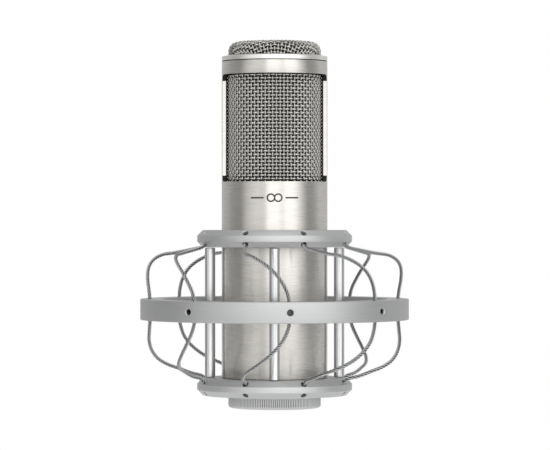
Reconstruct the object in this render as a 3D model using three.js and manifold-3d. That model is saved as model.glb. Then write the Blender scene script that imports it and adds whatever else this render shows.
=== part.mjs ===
// A ribbon microphone hung on steel ropes inside a round shock mount, on a tilting stand adapter.
// Millimetres, +Z up. The origin is the centre of the stand thread's mouth, and the microphone's
// front faces -Y. Inside the `mount` group heights are measured from the underside of the lower
// cage ring, on the microphone's own axis, and azimuths run from the front (-Y) towards +X.

import * as THREE from 'three';
import { mergeVertices } from 'three/addons/utils/BufferGeometryUtils.js';
import Module from 'manifold-3d';

// ---- driving dimensions ------------------------------------------------------------------------

const GAP = 0.3;                  // air between two pieces that touch on the real object
const WELD = 1e-4;                // corners closer than this are one corner
const ROUND_SIDES = 48;           // facets round the big rings and the tube
const SMALL_SIDES = 40;

const TILT_TO_AXIS = 80;          // tilt pin to microphone axis
const TILT_HEIGHT = 36;           // tilt pin above the stand thread's mouth

const TUBE_R = 25.4;              // a two-inch tube
const TUBE_WALL = 1.8;
const TUBE_BOTTOM = 8.5;
const TUBE_TOP = 159.9;
const WINDOW_BOTTOM = 102.3;
const WINDOW_TOP = 153.6;
const WINDOW_CORNER = 3;
const PILLAR_HALF = 4.2;          // half the width of the pillar left between the two windows

const CAP_TOP = 163;
const CAP_EDGE = 162.4;           // where the cap ring's side turns into its slope
const CAP_BORE = 22.7;
const CAP_SEAT = 156.1;
const CAP_LIP = 1.1;              // the shelf in the cap ring that the mesh top stands on
const DOME_R = 22.4;
const DOME_TOP = 170.3;
const DOME_CORNER = 3.8;
const DOME_CROWN = 0.7;
const MESH_THICK = 0.8;

const GRILLE_R = 22.8;
const GRILLE_BOTTOM = 98.8;
const GRILLE_TOP = 155.8;
const SCREEN_R = 21.5;
const SCREEN_THICK = 0.5;

const DECK_BOTTOM = 96;
const DECK_TOP = 98.5;
const DECK_LEAD_X = 17;
const DECK_HOLE_R = 2;
const LEAD_R = 0.6;

const MOTOR_TOP = 155;
const MOTOR_HALF_WIDTH = 15;
const MOTOR_HALF_DEPTH = 5;
const POCKET_BOTTOM = 102.5;      // the front pocket that takes the ribbon and its clamps
const POCKET_TOP = 151.5;
const POCKET_BACK = 0.45;
const RIBBON_GAP_HALF = 2.6;
const RIBBON_HALF_WIDTH = 2.3;
const RIBBON_THICK = 0.2;
const RIBBON_FOLD = 0.4;          // height of a corrugation to each side
const RIBBON_PITCH = 2;
const MAGNET_WIDTH = 6.5;
const MAGNET_BOTTOM = 107.7;
const MAGNET_TOP = 146.3;
const CLAMP_HEIGHT = 4;
const CLAMP_MARGIN = 0.5;         // clamp to pocket end
const CLAMP_HALF_WIDTH = 8;
const CLAMP_SCREW_FROM_END = 1.6; // pocket end to clamp screw axis
const CLAMP_SCREW_R = 0.75;
const CLAMP_SCREW_HEAD_R = 1.4;
const CLAMP_SCREW_HEAD = 1.6;
const CLAMP_HOLE_R = CLAMP_SCREW_R + GAP;
const MAGNET_AIR = 0.4;           // between a magnet and the motor frame

const SHIELD_R = 19;
const SHIELD_BOTTOM = 50;
const SHIELD_TOP = 80;
const SHIELD_WALL = 1.1;
const CORE_R = 16.8;
const CORE_BORE = 6;
const CORE_BOTTOM = SHIELD_BOTTOM + 3;
const CORE_TOP = SHIELD_TOP - 4;
const CORE_BEVEL = 2;
const CHASSIS_ROD_AT = 21;
const CHASSIS_ROD_R = 1.5;

const PLUG_R = TUBE_R - TUBE_WALL - 0.4;
const PLUG_TOP = 17;
const STUB_R = 19;                // the threaded stub below the tube
const STUB_BOTTOM = -5.3;
const SOCKET_R = 8.1;             // the three-pin socket in the stub
const SOCKET_DEPTH_AT = 9;
const INSULATOR_R = 9.9;
const INSULATOR_THICK = 5;
const PIN_R = 1.2;
const PIN_TIP_R = 0.7;
const PIN_CIRCLE = 3.9;
const PIN_TIP = STUB_BOTTOM + 2.3;
const PIN_TAIL = PLUG_TOP + 1;

const COLLAR_R = 22.2;
const COLLAR_BOTTOM = -6.1;
const COLLAR_ROUND = 1.6;
const COLLAR_BORE = 19.35;
const COLLAR_RECESS = 21.2;
const WASHER_THICK = 1.2;

const CAGE_R = 37.2;
const CAGE_RING_HEIGHT = 8.2;
const CAGE_CHAMFER = 2.7;
const UPPER_RING_AT = 71;
const UPPER_BORE = 26.2;
const LOWER_BORE = 19.6;
const CAGE_ROD_R = 2.5;
const CAGE_ROD_AT = 31;

const RING_R = 64.5;
const RING_BORE = 54.1;
const RING_MIDDLE = 41.2;
const RING_HEIGHT = 10;

const ROPE_COUNT = 8;
const ROPE_FIRST = 22.5;          // azimuth of the first rope's cage ends
const ROPE_R = 0.92;
const ROPE_AT = 60;               // where the ropes pass down through the outer ring
const ROPE_SWIRL = 29;            // how far round the rope has gone there
const ROPE_STEPS = 22;
const ROPE_SIDES = 8;
const ROPE_HOLE_R = 1.4;
const RING_ROPE_HOLE_R = 1.3;
const SET_SCREW_HOLE_R = 1.6;
const SET_SCREW_R = 1.2;
const SET_SCREW_OUT = 3.7;        // from the rope's middle to the screw's outer end
const SET_SCREW_SOCKET_R = 0.6;
const SET_SCREW_SOCKET = 1.3;

const EYE_R = 8;                  // the adapter's eye round the tilt pin
const EYE_HALF = 8;
const STEM_HALF = 5;
const EAR_IN = 8.5;
const EAR_OUT = 12.5;
const EAR_R = 7.5;
const TILT_HOLE_R = 3.25;
const TILT_PIN_R = 2.85;
const SADDLE_R = 69.5;
const SADDLE_SPREAD = 17.5;       // degrees to each side of the rear
const FORK_SCREW_SPREAD = 13.5;
const FORK_SCREW_R = 1.5;
const FORK_SCREW_HOLE_R = 1.85;
const FORK_SCREW_LENGTH = 3.6;    // the part inside the outer ring
const FORK_SCREW_HEAD_R = 2.6;
const FORK_SCREW_HEAD = 2.5;
const FORK_SCREW_SOCKET_R = 1.2;
const FORK_SCREW_SOCKET = 1.3;
const KEY_HOLE_R = 2;             // lets a key reach the set screw behind the saddle

const ADAPTER_R = 12.5;
const ADAPTER_TOP = 21;
const ADAPTER_CHAMFER = 2;
const INSERT_R = 10.2;
const INSERT_BORE = 7.6;
const INSERT_TOP = 14;
const THREAD_RUNOUT = 3;
const HINGE_HEAD_R = 5.5;
const HINGE_HEAD = 3.5;
const HINGE_SOCKET_R = 2.4;
const HINGE_SOCKET = 1.5;
const HINGE_END = 21.5;
const KNOB_R = 8;
const KNOB_LOBE = 0.8;
const KNOB_LOBES = 6;
const KNOB_IN = 14.1;
const KNOB_OUT = 23.5;
const KNOB_END_WALL = 1.3;
const KNOB_WASHER_R = 6.5;

// ---- finishes ----------------------------------------------------------------------------------

const finish = (color, roughness, metalness) =>
  new THREE.MeshStandardMaterial({ color, roughness, metalness });

const NICKEL = finish(0x9c988f, 0.32, 1);
const ALUMINIUM = finish(0xb4b5b6, 0.38, 1);
const POLISHED = finish(0xc6c8ca, 0.2, 1);
const ROPE_STEEL = finish(0xa9abad, 0.35, 1);
const MESH = finish(0x8a8b8c, 0.4, 1);
const FINE_MESH = finish(0x2c2c2e, 0.6, 1);
const DARK_STEEL = finish(0x3a3b3d, 0.45, 1);
const SHIELD_METAL = finish(0x8f8d88, 0.4, 1);
const MAGNET = finish(0x55575a, 0.35, 1);
const FOIL = finish(0xd5d7d9, 0.3, 1);
const BRASS = finish(0xb08d4a, 0.35, 1);
const INSULATION = finish(0x1a1a1b, 0.6, 0);
const LEAD_RED = finish(0x8c1f1c, 0.5, 0);
const LEAD_BLUE = finish(0x1c3d7a, 0.5, 0);

// ---- making solids -----------------------------------------------------------------------------

const radians = (degrees) => (degrees * Math.PI) / 180;

function signedVolume(position, corners) {
  const a = new THREE.Vector3();
  const b = new THREE.Vector3();
  const c = new THREE.Vector3();
  let total = 0;
  for (let i = 0; i < corners.length; i += 3) {
    a.fromBufferAttribute(position, corners[i]);
    b.fromBufferAttribute(position, corners[i + 1]);
    c.fromBufferAttribute(position, corners[i + 2]);
    total += a.dot(b.cross(c)) / 6;
  }
  return total;
}

// Welds shared corners, drops the empty triangles that a point on the axis leaves, and turns every
// face outward.
function closed(geometry) {
  geometry.deleteAttribute('normal');
  geometry.deleteAttribute('uv');
  const welded = mergeVertices(geometry, WELD);
  const corners = Array.from(welded.index.array);
  const kept = [];
  for (let i = 0; i < corners.length; i += 3) {
    const [a, b, c] = corners.slice(i, i + 3);
    if (a !== b && b !== c && c !== a) kept.push(a, b, c);
  }
  if (signedVolume(welded.attributes.position, kept) < 0) kept.reverse();
  welded.setIndex(kept);
  return welded;
}

function toManifold(geometry) {
  const vertProperties = new Float32Array(geometry.attributes.position.array);
  const triVerts = new Uint32Array(geometry.index.array);
  return new wasm.Manifold(new wasm.Mesh({ numProp: 3, vertProperties, triVerts }));
}

function fromManifold(solid) {
  const { vertProperties, triVerts } = solid.getMesh();
  const geometry = new THREE.BufferGeometry();
  geometry.setAttribute('position', new THREE.BufferAttribute(vertProperties, 3));
  geometry.setIndex(new THREE.BufferAttribute(triVerts, 1));
  return geometry;
}

function cut(body, ...tools) {
  return fromManifold(tools.reduce((solid, tool) => solid.subtract(toManifold(tool)), toManifold(body)));
}

function join(body, ...others) {
  return fromManifold(others.reduce((solid, other) => solid.add(toManifold(other)), toManifold(body)));
}

// Turns a profile of [radius, height] points round the Z axis.
function lathe(profile, sides) {
  const points = profile.map(([r, z]) => new THREE.Vector2(r, z));
  return closed(new THREE.LatheGeometry(points, sides).rotateX(Math.PI / 2));
}

const rod = (r, bottom, top, sides) => lathe([[0, bottom], [r, bottom], [r, top], [0, top]], sides);

function ring(inner, outer, bottom, top, sides) {
  return lathe([[inner, bottom], [outer, bottom], [outer, top], [inner, top], [inner, bottom]], sides);
}

// Points of an arc in a profile, from one angle to another in degrees.
function arc(centreR, centreZ, radius, from, to, steps) {
  return Array.from({ length: steps + 1 }, (_, i) => {
    const angle = radians(from + ((to - from) * i) / steps);
    return [centreR + radius * Math.cos(angle), centreZ + radius * Math.sin(angle)];
  });
}

function box(x0, x1, y0, y1, z0, z1) {
  const geometry = new THREE.BoxGeometry(x1 - x0, y1 - y0, z1 - z0);
  return closed(geometry.translate((x0 + x1) / 2, (y0 + y1) / 2, (z0 + z1) / 2));
}

// Extrudes an outline drawn in (y, z) along X.
function extrudeAlongX(shape, x0, x1, curveSegments) {
  const depth = x1 - x0;
  const geometry = new THREE.ExtrudeGeometry(shape, { depth, bevelEnabled: false, curveSegments });
  const toYZ = new THREE.Matrix4().makeBasis(
    new THREE.Vector3(0, 1, 0),
    new THREE.Vector3(0, 0, 1),
    new THREE.Vector3(1, 0, 0),
  );
  return closed(geometry.applyMatrix4(toYZ).translate(x0, 0, 0));
}

function extrudeAlongZ(shape, bottom, top, curveSegments) {
  const depth = top - bottom;
  const geometry = new THREE.ExtrudeGeometry(shape, { depth, bevelEnabled: false, curveSegments });
  return closed(geometry.translate(0, 0, bottom));
}

// A round cord of radius r through the points, with flat ends.
function cord(points, r, sides, steps) {
  const section = new THREE.Shape();
  for (let i = 0; i < sides; i += 1) {
    const angle = (2 * Math.PI * i) / sides;
    if (i === 0) section.moveTo(r, 0);
    else section.lineTo(r * Math.cos(angle), r * Math.sin(angle));
  }
  const extrudePath = new THREE.CatmullRomCurve3(points.map((point) => new THREE.Vector3(...point)));
  return closed(new THREE.ExtrudeGeometry(section, { steps, extrudePath, bevelEnabled: false }));
}

// Aims a shape made along +Z outward from the microphone's axis.
function outward(geometry, azimuth, radius, height, elevation = 0) {
  geometry.rotateX(Math.PI / 2 - radians(elevation));
  geometry.translate(0, -radius, height);
  return geometry.rotateZ(radians(azimuth));
}

const onRopes = (make) => Array.from({ length: ROPE_COUNT }, (_, k) => make((360 / ROPE_COUNT) * k, k));

// ---- microphone: tube, cap and grille ----------------------------------------------------------

function windowCutter(side) {
  const far = TUBE_R * 2;
  const outline = new THREE.Shape();
  outline.moveTo(far, WINDOW_BOTTOM);
  outline.lineTo(far, WINDOW_TOP);
  outline.lineTo(PILLAR_HALF + WINDOW_CORNER, WINDOW_TOP);
  outline.absarc(PILLAR_HALF + WINDOW_CORNER, WINDOW_TOP - WINDOW_CORNER, WINDOW_CORNER,
    Math.PI / 2, Math.PI, false);
  outline.absarc(PILLAR_HALF + WINDOW_CORNER, WINDOW_BOTTOM + WINDOW_CORNER, WINDOW_CORNER,
    Math.PI, 1.5 * Math.PI, false);
  return closed(extrudeAlongX(outline, -far, far, 5).rotateZ(side > 0 ? 0 : Math.PI));
}

function bodyTube() {
  const shell = ring(TUBE_R - TUBE_WALL, TUBE_R, TUBE_BOTTOM, TUBE_TOP, ROUND_SIDES);
  return cut(shell, windowCutter(1), windowCutter(-1));
}

function topCapRing() {
  const spigot = TUBE_R - TUBE_WALL - GAP;
  const lip = CAP_BORE - CAP_LIP;
  return lathe([
    [lip, CAP_SEAT], [spigot, CAP_SEAT], [spigot, TUBE_TOP + GAP], [TUBE_R, TUBE_TOP + GAP],
    [TUBE_R, CAP_EDGE], [CAP_BORE, CAP_TOP], [CAP_BORE, CAP_SEAT + CAP_LIP], [lip, CAP_SEAT + CAP_LIP],
    [lip, CAP_SEAT],
  ], ROUND_SIDES);
}

function topMesh() {
  const bottom = CAP_SEAT + CAP_LIP + GAP;
  const shoulder = DOME_TOP - DOME_CROWN - DOME_CORNER;
  return lathe([
    [DOME_R - MESH_THICK, bottom], [DOME_R, bottom],
    ...arc(DOME_R - DOME_CORNER, shoulder, DOME_CORNER, 0, 80, 3),
    [0, DOME_TOP], [0, DOME_TOP - MESH_THICK],
    ...arc(DOME_R - DOME_CORNER, shoulder, DOME_CORNER - MESH_THICK, 80, 0, 3),
    [DOME_R - MESH_THICK, bottom],
  ], 36);
}

function deckPlate() {
  const plate = rod(PLUG_R, DECK_BOTTOM, DECK_TOP, 40);
  const holes = [-1, 1].map((side) => rod(DECK_HOLE_R, DECK_BOTTOM - 1, DECK_TOP + 1, 10)
    .translate(side * DECK_LEAD_X, 0, 0));
  return cut(plate, ...holes);
}

// ---- microphone: ribbon motor ------------------------------------------------------------------

const UPPER_CLAMP_SCREW = POCKET_TOP - CLAMP_SCREW_FROM_END;
const LOWER_CLAMP_SCREW = POCKET_BOTTOM + CLAMP_SCREW_FROM_END;

function alongY(geometry, z) {
  return geometry.rotateX(Math.PI / 2).translate(0, 0, z);
}

function motorFrame() {
  const block = box(-MOTOR_HALF_WIDTH, MOTOR_HALF_WIDTH, -MOTOR_HALF_DEPTH, MOTOR_HALF_DEPTH,
    DECK_TOP + GAP, MOTOR_TOP);
  const throughHalf = RIBBON_GAP_HALF + MAGNET_WIDTH + MAGNET_AIR;
  const through = box(-throughHalf, throughHalf, -MOTOR_HALF_DEPTH - 1, MOTOR_HALF_DEPTH + 1,
    MAGNET_BOTTOM - MAGNET_AIR, MAGNET_TOP + MAGNET_AIR);
  const pocket = box(1 - throughHalf, throughHalf - 1, -MOTOR_HALF_DEPTH - 1, POCKET_BACK,
    POCKET_BOTTOM, POCKET_TOP);
  const holes = [UPPER_CLAMP_SCREW, LOWER_CLAMP_SCREW].map((z) => alongY(rod(CLAMP_HOLE_R, -3.2, 1, 8), z));
  return cut(block, through, pocket, ...holes);
}

function magnet(side) {
  const inner = side * RIBBON_GAP_HALF;
  const outer = side * (RIBBON_GAP_HALF + MAGNET_WIDTH);
  const depth = MOTOR_HALF_DEPTH - 0.5;
  return box(Math.min(inner, outer), Math.max(inner, outer), -depth, depth, MAGNET_BOTTOM, MAGNET_TOP);
}

// A folded strip: flat ends under the clamps, corrugated between them.
function ribbon() {
  const bottom = LOWER_CLAMP_SCREW + 1.3;
  const top = UPPER_CLAMP_SCREW - 1.3;
  const flat = 2.5;
  const folds = Math.round((top - bottom - 2 * flat) / (RIBBON_PITCH / 2));
  const line = [[0, bottom]];
  for (let i = 0; i <= folds; i += 1) {
    const side = i === 0 || i === folds ? 0 : RIBBON_FOLD * (-1) ** i;
    line.push([side, bottom + flat + ((top - bottom - 2 * flat) * i) / folds]);
  }
  line.push([0, top]);
  const front = line.map(([y, z]) => new THREE.Vector2(y - RIBBON_THICK / 2, z));
  const back = line.map(([y, z]) => new THREE.Vector2(y + RIBBON_THICK / 2, z)).reverse();
  return extrudeAlongX(new THREE.Shape([...front, ...back]), -RIBBON_HALF_WIDTH, RIBBON_HALF_WIDTH, 1);
}

function ribbonClamp(z0, screwZ) {
  const bar = box(-CLAMP_HALF_WIDTH, CLAMP_HALF_WIDTH, 0.5 - MOTOR_HALF_DEPTH, -POCKET_BACK,
    z0, z0 + CLAMP_HEIGHT);
  return cut(bar, alongY(rod(CLAMP_HOLE_R, -1, MOTOR_HALF_DEPTH + 1, 8), screwZ));
}

function clampScrew(z) {
  const seat = MOTOR_HALF_DEPTH - 0.5 + GAP;
  const screw = lathe([
    [0, -2], [CLAMP_SCREW_R, -2], [CLAMP_SCREW_R, seat], [CLAMP_SCREW_HEAD_R, seat],
    [CLAMP_SCREW_HEAD_R, seat + CLAMP_SCREW_HEAD], [0, seat + CLAMP_SCREW_HEAD],
  ], 8);
  return alongY(screw, z);
}

// ---- microphone: transformer, chassis and connector --------------------------------------------

function transformerCore() {
  return lathe([
    [CORE_BORE, CORE_BOTTOM + CORE_BEVEL], [CORE_BORE + CORE_BEVEL, CORE_BOTTOM],
    [CORE_R - CORE_BEVEL, CORE_BOTTOM], [CORE_R, CORE_BOTTOM + CORE_BEVEL],
    [CORE_R, CORE_TOP - CORE_BEVEL], [CORE_R - CORE_BEVEL, CORE_TOP],
    [CORE_BORE + CORE_BEVEL, CORE_TOP], [CORE_BORE, CORE_TOP - CORE_BEVEL],
    [CORE_BORE, CORE_BOTTOM + CORE_BEVEL],
  ], 20);
}

function transformerShield() {
  const inner = SHIELD_R - SHIELD_WALL;
  return lathe([
    [0, SHIELD_TOP - SHIELD_WALL], [inner, SHIELD_TOP - SHIELD_WALL], [inner, SHIELD_BOTTOM],
    [SHIELD_R, SHIELD_BOTTOM], [SHIELD_R, SHIELD_TOP], [0, SHIELD_TOP],
  ], 32);
}

function connectorBase() {
  return lathe([
    [SOCKET_R, STUB_BOTTOM], [STUB_R, STUB_BOTTOM], [STUB_R, TUBE_BOTTOM], [PLUG_R, TUBE_BOTTOM],
    [PLUG_R, PLUG_TOP], [INSULATOR_R + GAP, PLUG_TOP], [INSULATOR_R + GAP, SOCKET_DEPTH_AT],
    [SOCKET_R, SOCKET_DEPTH_AT], [SOCKET_R, STUB_BOTTOM],
  ], SMALL_SIDES);
}

const PINS = [[-PIN_CIRCLE, 0], [PIN_CIRCLE, 0], [0, PIN_CIRCLE]];

function xlrInsulator() {
  const bottom = SOCKET_DEPTH_AT + GAP;
  const top = bottom + INSULATOR_THICK;
  const holes = PINS.map(([x, y]) => rod(PIN_R + 0.4, bottom - 1, top + 1, 8).translate(x, y, 0));
  return cut(rod(INSULATOR_R, bottom, top, 24), ...holes);
}

function xlrPin([x, y]) {
  return lathe([
    [0, PIN_TIP], [PIN_TIP_R, PIN_TIP], [PIN_R, PIN_TIP + 0.8], [PIN_R, PIN_TAIL], [0, PIN_TAIL],
  ], 10).translate(x, y, 0);
}

// A fine lead from a ribbon clamp, down through the deck and past the shield to the transformer.
function ribbonLead(side, clampZ) {
  const drop = clampZ > DECK_TOP + 20 ? [[side * DECK_LEAD_X, -1, 135], [side * DECK_LEAD_X, 0, 118]] : [];
  return cord([
    [side * 6.5, -5.3, clampZ], [side * 11, -8, clampZ - 1], [side * 16.2, -6.6, clampZ - 2.4], ...drop,
    [side * DECK_LEAD_X, 0, 99.5],
    [side * DECK_LEAD_X, 0, 94], [side * 16, 12, 86.5], [side * 15.1, 14.6, 79], [side * 15.1, 14.6, 65],
    [side * 15.1, 14.6, 50], [side * 13.2, 12.6, 46], [side * 9, 8.2, 46.6], [side * 8, 7, 52.6],
  ], LEAD_R, 8, 18);
}

function outputLead(side) {
  const core = CORE_BOTTOM - GAP;
  return cord([
    [side * 7, -7, core], [side * 7, -7, core - 7], [side * 5.5, -3, 34], [side * PIN_CIRCLE, 0, 24],
    [side * PIN_CIRCLE, 0, PIN_TAIL + GAP],
  ], LEAD_R, 8, 8);
}

// ---- cage --------------------------------------------------------------------------------------

// A cage ring, with one rope hole per rope entering the chamfer that faces the outer ring.
function cageRing(bore, bottom, holesBelow) {
  const top = bottom + CAGE_RING_HEIGHT;
  const body = lathe([
    [bore, bottom], [CAGE_R - CAGE_CHAMFER, bottom], [CAGE_R, bottom + CAGE_CHAMFER],
    [CAGE_R, top - CAGE_CHAMFER], [CAGE_R - CAGE_CHAMFER, top], [bore, top], [bore, bottom],
  ], ROUND_SIDES);
  const mouth = CAGE_R - CAGE_CHAMFER / 2;
  const height = holesBelow ? bottom + CAGE_CHAMFER / 2 : top - CAGE_CHAMFER / 2;
  const holes = onRopes((turn) => outward(rod(ROPE_HOLE_R, -5, 2, 8), ROPE_FIRST + turn, mouth, height,
    holesBelow ? -45 : 45));
  return cut(body, ...holes);
}

function cageRod() {
  return rod(CAGE_ROD_R, CAGE_RING_HEIGHT + GAP, UPPER_RING_AT - GAP, 16);
}

// ---- ropes and outer ring ----------------------------------------------------------------------

// One rope's route from the upper cage ring, out and down through the outer ring, and back in to
// the lower cage ring: [distance from the axis, degrees past its cage end, height].
const ROPE_ROUTE = [
  [34, 0, 74.2], [35.85, 0, 72.35], [38, 1, 70.9], [41.5, 2.8, 70], [46, 5.1, 69], [50.5, 7.6, 68.1],
  [54.9, 10.6, 67.4], [57.9, 14.4, 65.7], [59.9, 18.7, 63], [60.8, 22.5, 59.6], [60.9, 25.7, 55.2],
  [60.4, 28, 50.6], [ROPE_AT, ROPE_SWIRL, 46.2], [ROPE_AT, ROPE_SWIRL, RING_MIDDLE],
  [ROPE_AT, ROPE_SWIRL, 36.2], [60.2, 27.7, 31.4], [60.3, 25, 26.4], [59.2, 20.6, 21.4],
  [56.7, 15, 17], [52.8, 9.8, 14], [48, 5.6, 11.9], [42.5, 2, 9.6], [38.4, 0.4, 8.6], [35.85, 0, 6.85],
  [34, 0, 5],
];

function rope(turn) {
  const points = ROPE_ROUTE.map(([r, past, z]) => {
    const angle = radians(ROPE_FIRST + turn + past);
    return [r * Math.sin(angle), -r * Math.cos(angle), z];
  });
  return cord(points, ROPE_R, ROPE_SIDES, ROPE_STEPS);
}

const RING_BOTTOM = RING_MIDDLE - RING_HEIGHT / 2;
const RING_TOP = RING_MIDDLE + RING_HEIGHT / 2;
const FORK_SCREWS = [180 - FORK_SCREW_SPREAD, 180 + FORK_SCREW_SPREAD];

function outerRing() {
  const body = ring(RING_BORE, RING_R, RING_BOTTOM, RING_TOP, ROUND_SIDES);
  const ropeHoles = onRopes((turn) => rod(RING_ROPE_HOLE_R, RING_BOTTOM - 1, RING_TOP + 1, 8)
    .translate(0, -ROPE_AT, 0).rotateZ(radians(ROPE_FIRST + ROPE_SWIRL + turn)));
  const screwHoles = onRopes((turn) => outward(rod(SET_SCREW_HOLE_R, 0, 6, 8),
    ROPE_FIRST + ROPE_SWIRL + turn, ROPE_AT, RING_MIDDLE));
  const forkHoles = FORK_SCREWS.map((azimuth) => outward(rod(FORK_SCREW_HOLE_R, -4, 8, 8),
    azimuth, RING_R, RING_MIDDLE));
  return cut(body, ...ropeHoles, ...screwHoles, ...forkHoles);
}

// A set screw with a blind socket, lying inside its hole and pressing on the rope.
function ringSetScrew(turn) {
  const inner = ROPE_R + GAP;
  const socket = SET_SCREW_OUT - SET_SCREW_SOCKET;
  const screw = lathe([
    [0, inner], [SET_SCREW_R, inner], [SET_SCREW_R, SET_SCREW_OUT], [SET_SCREW_SOCKET_R, SET_SCREW_OUT],
    [SET_SCREW_SOCKET_R, socket], [0, socket],
  ], 8);
  return outward(screw, ROPE_FIRST + ROPE_SWIRL + turn, ROPE_AT, RING_MIDDLE);
}

// ---- swivel: fork, screws and stand adapter ----------------------------------------------------

// The fork's plan is a saddle on the outer ring, and its ears reach back to the tilt pin.
function swivelFork() {
  const saddle = new THREE.Shape();
  const from = radians(90 - SADDLE_SPREAD);
  const to = radians(90 + SADDLE_SPREAD);
  saddle.absarc(0, 0, SADDLE_R, from, to, false);
  saddle.absarc(0, 0, RING_R + GAP, to, from, true);
  const ear = new THREE.Shape();
  ear.moveTo(RING_R + 2, RING_BOTTOM);
  ear.lineTo(TILT_TO_AXIS, RING_MIDDLE - EAR_R);
  ear.absarc(TILT_TO_AXIS, RING_MIDDLE, EAR_R, -Math.PI / 2, Math.PI / 2, false);
  ear.lineTo(RING_R + 2, RING_TOP);
  const body = join(
    extrudeAlongZ(saddle, RING_BOTTOM, RING_TOP, 8),
    extrudeAlongX(ear, EAR_IN, EAR_OUT, 10),
    extrudeAlongX(ear, -EAR_OUT, -EAR_IN, 10),
  );
  const pinHole = rod(TILT_HOLE_R, -EAR_OUT - 1, EAR_OUT + 1, 16).rotateY(Math.PI / 2)
    .translate(0, TILT_TO_AXIS, RING_MIDDLE);
  const screwHoles = FORK_SCREWS.map((azimuth) => outward(rod(FORK_SCREW_HOLE_R, -1, 8, 8),
    azimuth, RING_R, RING_MIDDLE));
  const keyHole = outward(rod(KEY_HOLE_R, -1, 6, 10), ROPE_FIRST + ROPE_SWIRL + 135, RING_R, RING_MIDDLE);
  return cut(body, pinHole, ...screwHoles, keyHole);
}

function forkScrew(azimuth) {
  const seat = SADDLE_R - RING_R + GAP;
  const head = seat + FORK_SCREW_HEAD;
  const screw = lathe([
    [0, -FORK_SCREW_LENGTH], [FORK_SCREW_R, -FORK_SCREW_LENGTH], [FORK_SCREW_R, seat],
    [FORK_SCREW_HEAD_R, seat], [FORK_SCREW_HEAD_R, head], [FORK_SCREW_SOCKET_R, head],
    [FORK_SCREW_SOCKET_R, head - FORK_SCREW_SOCKET], [0, head - FORK_SCREW_SOCKET],
  ], 10);
  return outward(screw, azimuth, RING_R, RING_MIDDLE);
}

// The adapter has a socket for the thread insert and an eye for the tilt pin.
function standAdapter() {
  const bore = INSERT_R + GAP;
  const socket = lathe([
    [0, INSERT_TOP + THREAD_RUNOUT], [INSERT_BORE, INSERT_TOP + THREAD_RUNOUT],
    [INSERT_BORE, INSERT_TOP + GAP], [bore, INSERT_TOP + GAP], [bore, 0], [ADAPTER_R, 0],
    [ADAPTER_R, ADAPTER_TOP - ADAPTER_CHAMFER], [ADAPTER_R - ADAPTER_CHAMFER, ADAPTER_TOP],
    [0, ADAPTER_TOP],
  ], 40);
  const meet = Math.asin(STEM_HALF / EYE_R);
  const stem = new THREE.Shape();
  stem.moveTo(-STEM_HALF, ADAPTER_TOP - 1);
  stem.lineTo(STEM_HALF, ADAPTER_TOP - 1);
  stem.absarc(0, TILT_HEIGHT, EYE_R, meet - Math.PI / 2, 1.5 * Math.PI - meet, false);
  const eye = extrudeAlongX(stem, -EYE_HALF, EYE_HALF, 20);
  const pinHole = rod(TILT_HOLE_R, -EYE_HALF - 1, EYE_HALF + 1, 16).rotateY(Math.PI / 2)
    .translate(0, 0, TILT_HEIGHT);
  return cut(join(socket, eye), pinHole);
}

// Pieces on the tilt pin are made along +Z and turned to lie along +X.
function onPin(geometry) {
  return geometry.rotateY(Math.PI / 2).translate(0, 0, TILT_HEIGHT);
}

function hingeScrew() {
  const seat = -EAR_OUT - GAP;
  const head = seat - HINGE_HEAD;
  return onPin(lathe([
    [0, head + HINGE_SOCKET], [HINGE_SOCKET_R, head + HINGE_SOCKET], [HINGE_SOCKET_R, head],
    [HINGE_HEAD_R, head], [HINGE_HEAD_R, seat], [TILT_PIN_R, seat], [TILT_PIN_R, HINGE_END],
    [0, HINGE_END],
  ], 16));
}

function clampKnob() {
  const outline = [];
  const points = KNOB_LOBES * 8;
  for (let i = 0; i < points; i += 1) {
    const angle = (2 * Math.PI * i) / points;
    const r = KNOB_R - KNOB_LOBE + KNOB_LOBE * Math.cos(KNOB_LOBES * angle);
    outline.push(new THREE.Vector2(r * Math.cos(angle), r * Math.sin(angle)));
  }
  const body = extrudeAlongZ(new THREE.Shape(outline), KNOB_IN, KNOB_OUT, 1);
  return onPin(cut(body, rod(TILT_HOLE_R, KNOB_IN - 1, KNOB_OUT - KNOB_END_WALL, 16)));
}

// ---- locking collar ----------------------------------------------------------------------------

function lockingCollar() {
  const recess = -GAP - WASHER_THICK - GAP;
  return lathe([
    [COLLAR_BORE, COLLAR_BOTTOM],
    ...arc(COLLAR_R - COLLAR_ROUND, COLLAR_BOTTOM + COLLAR_ROUND, COLLAR_ROUND, -90, 0, 3),
    [COLLAR_R, -GAP], [COLLAR_RECESS, -GAP], [COLLAR_RECESS, recess], [COLLAR_BORE, recess],
    [COLLAR_BORE, COLLAR_BOTTOM],
  ], SMALL_SIDES);
}

// ---- the assembly ------------------------------------------------------------------------------

function add(parent, name, geometry, material) {
  const mesh = new THREE.Mesh(geometry, material);
  mesh.name = name;
  parent.add(mesh);
}

const wasm = await Module();
wasm.setup();

const group = new THREE.Group();
const mount = new THREE.Group();
mount.position.set(0, -TILT_TO_AXIS, TILT_HEIGHT - RING_MIDDLE);
group.add(mount);

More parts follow.
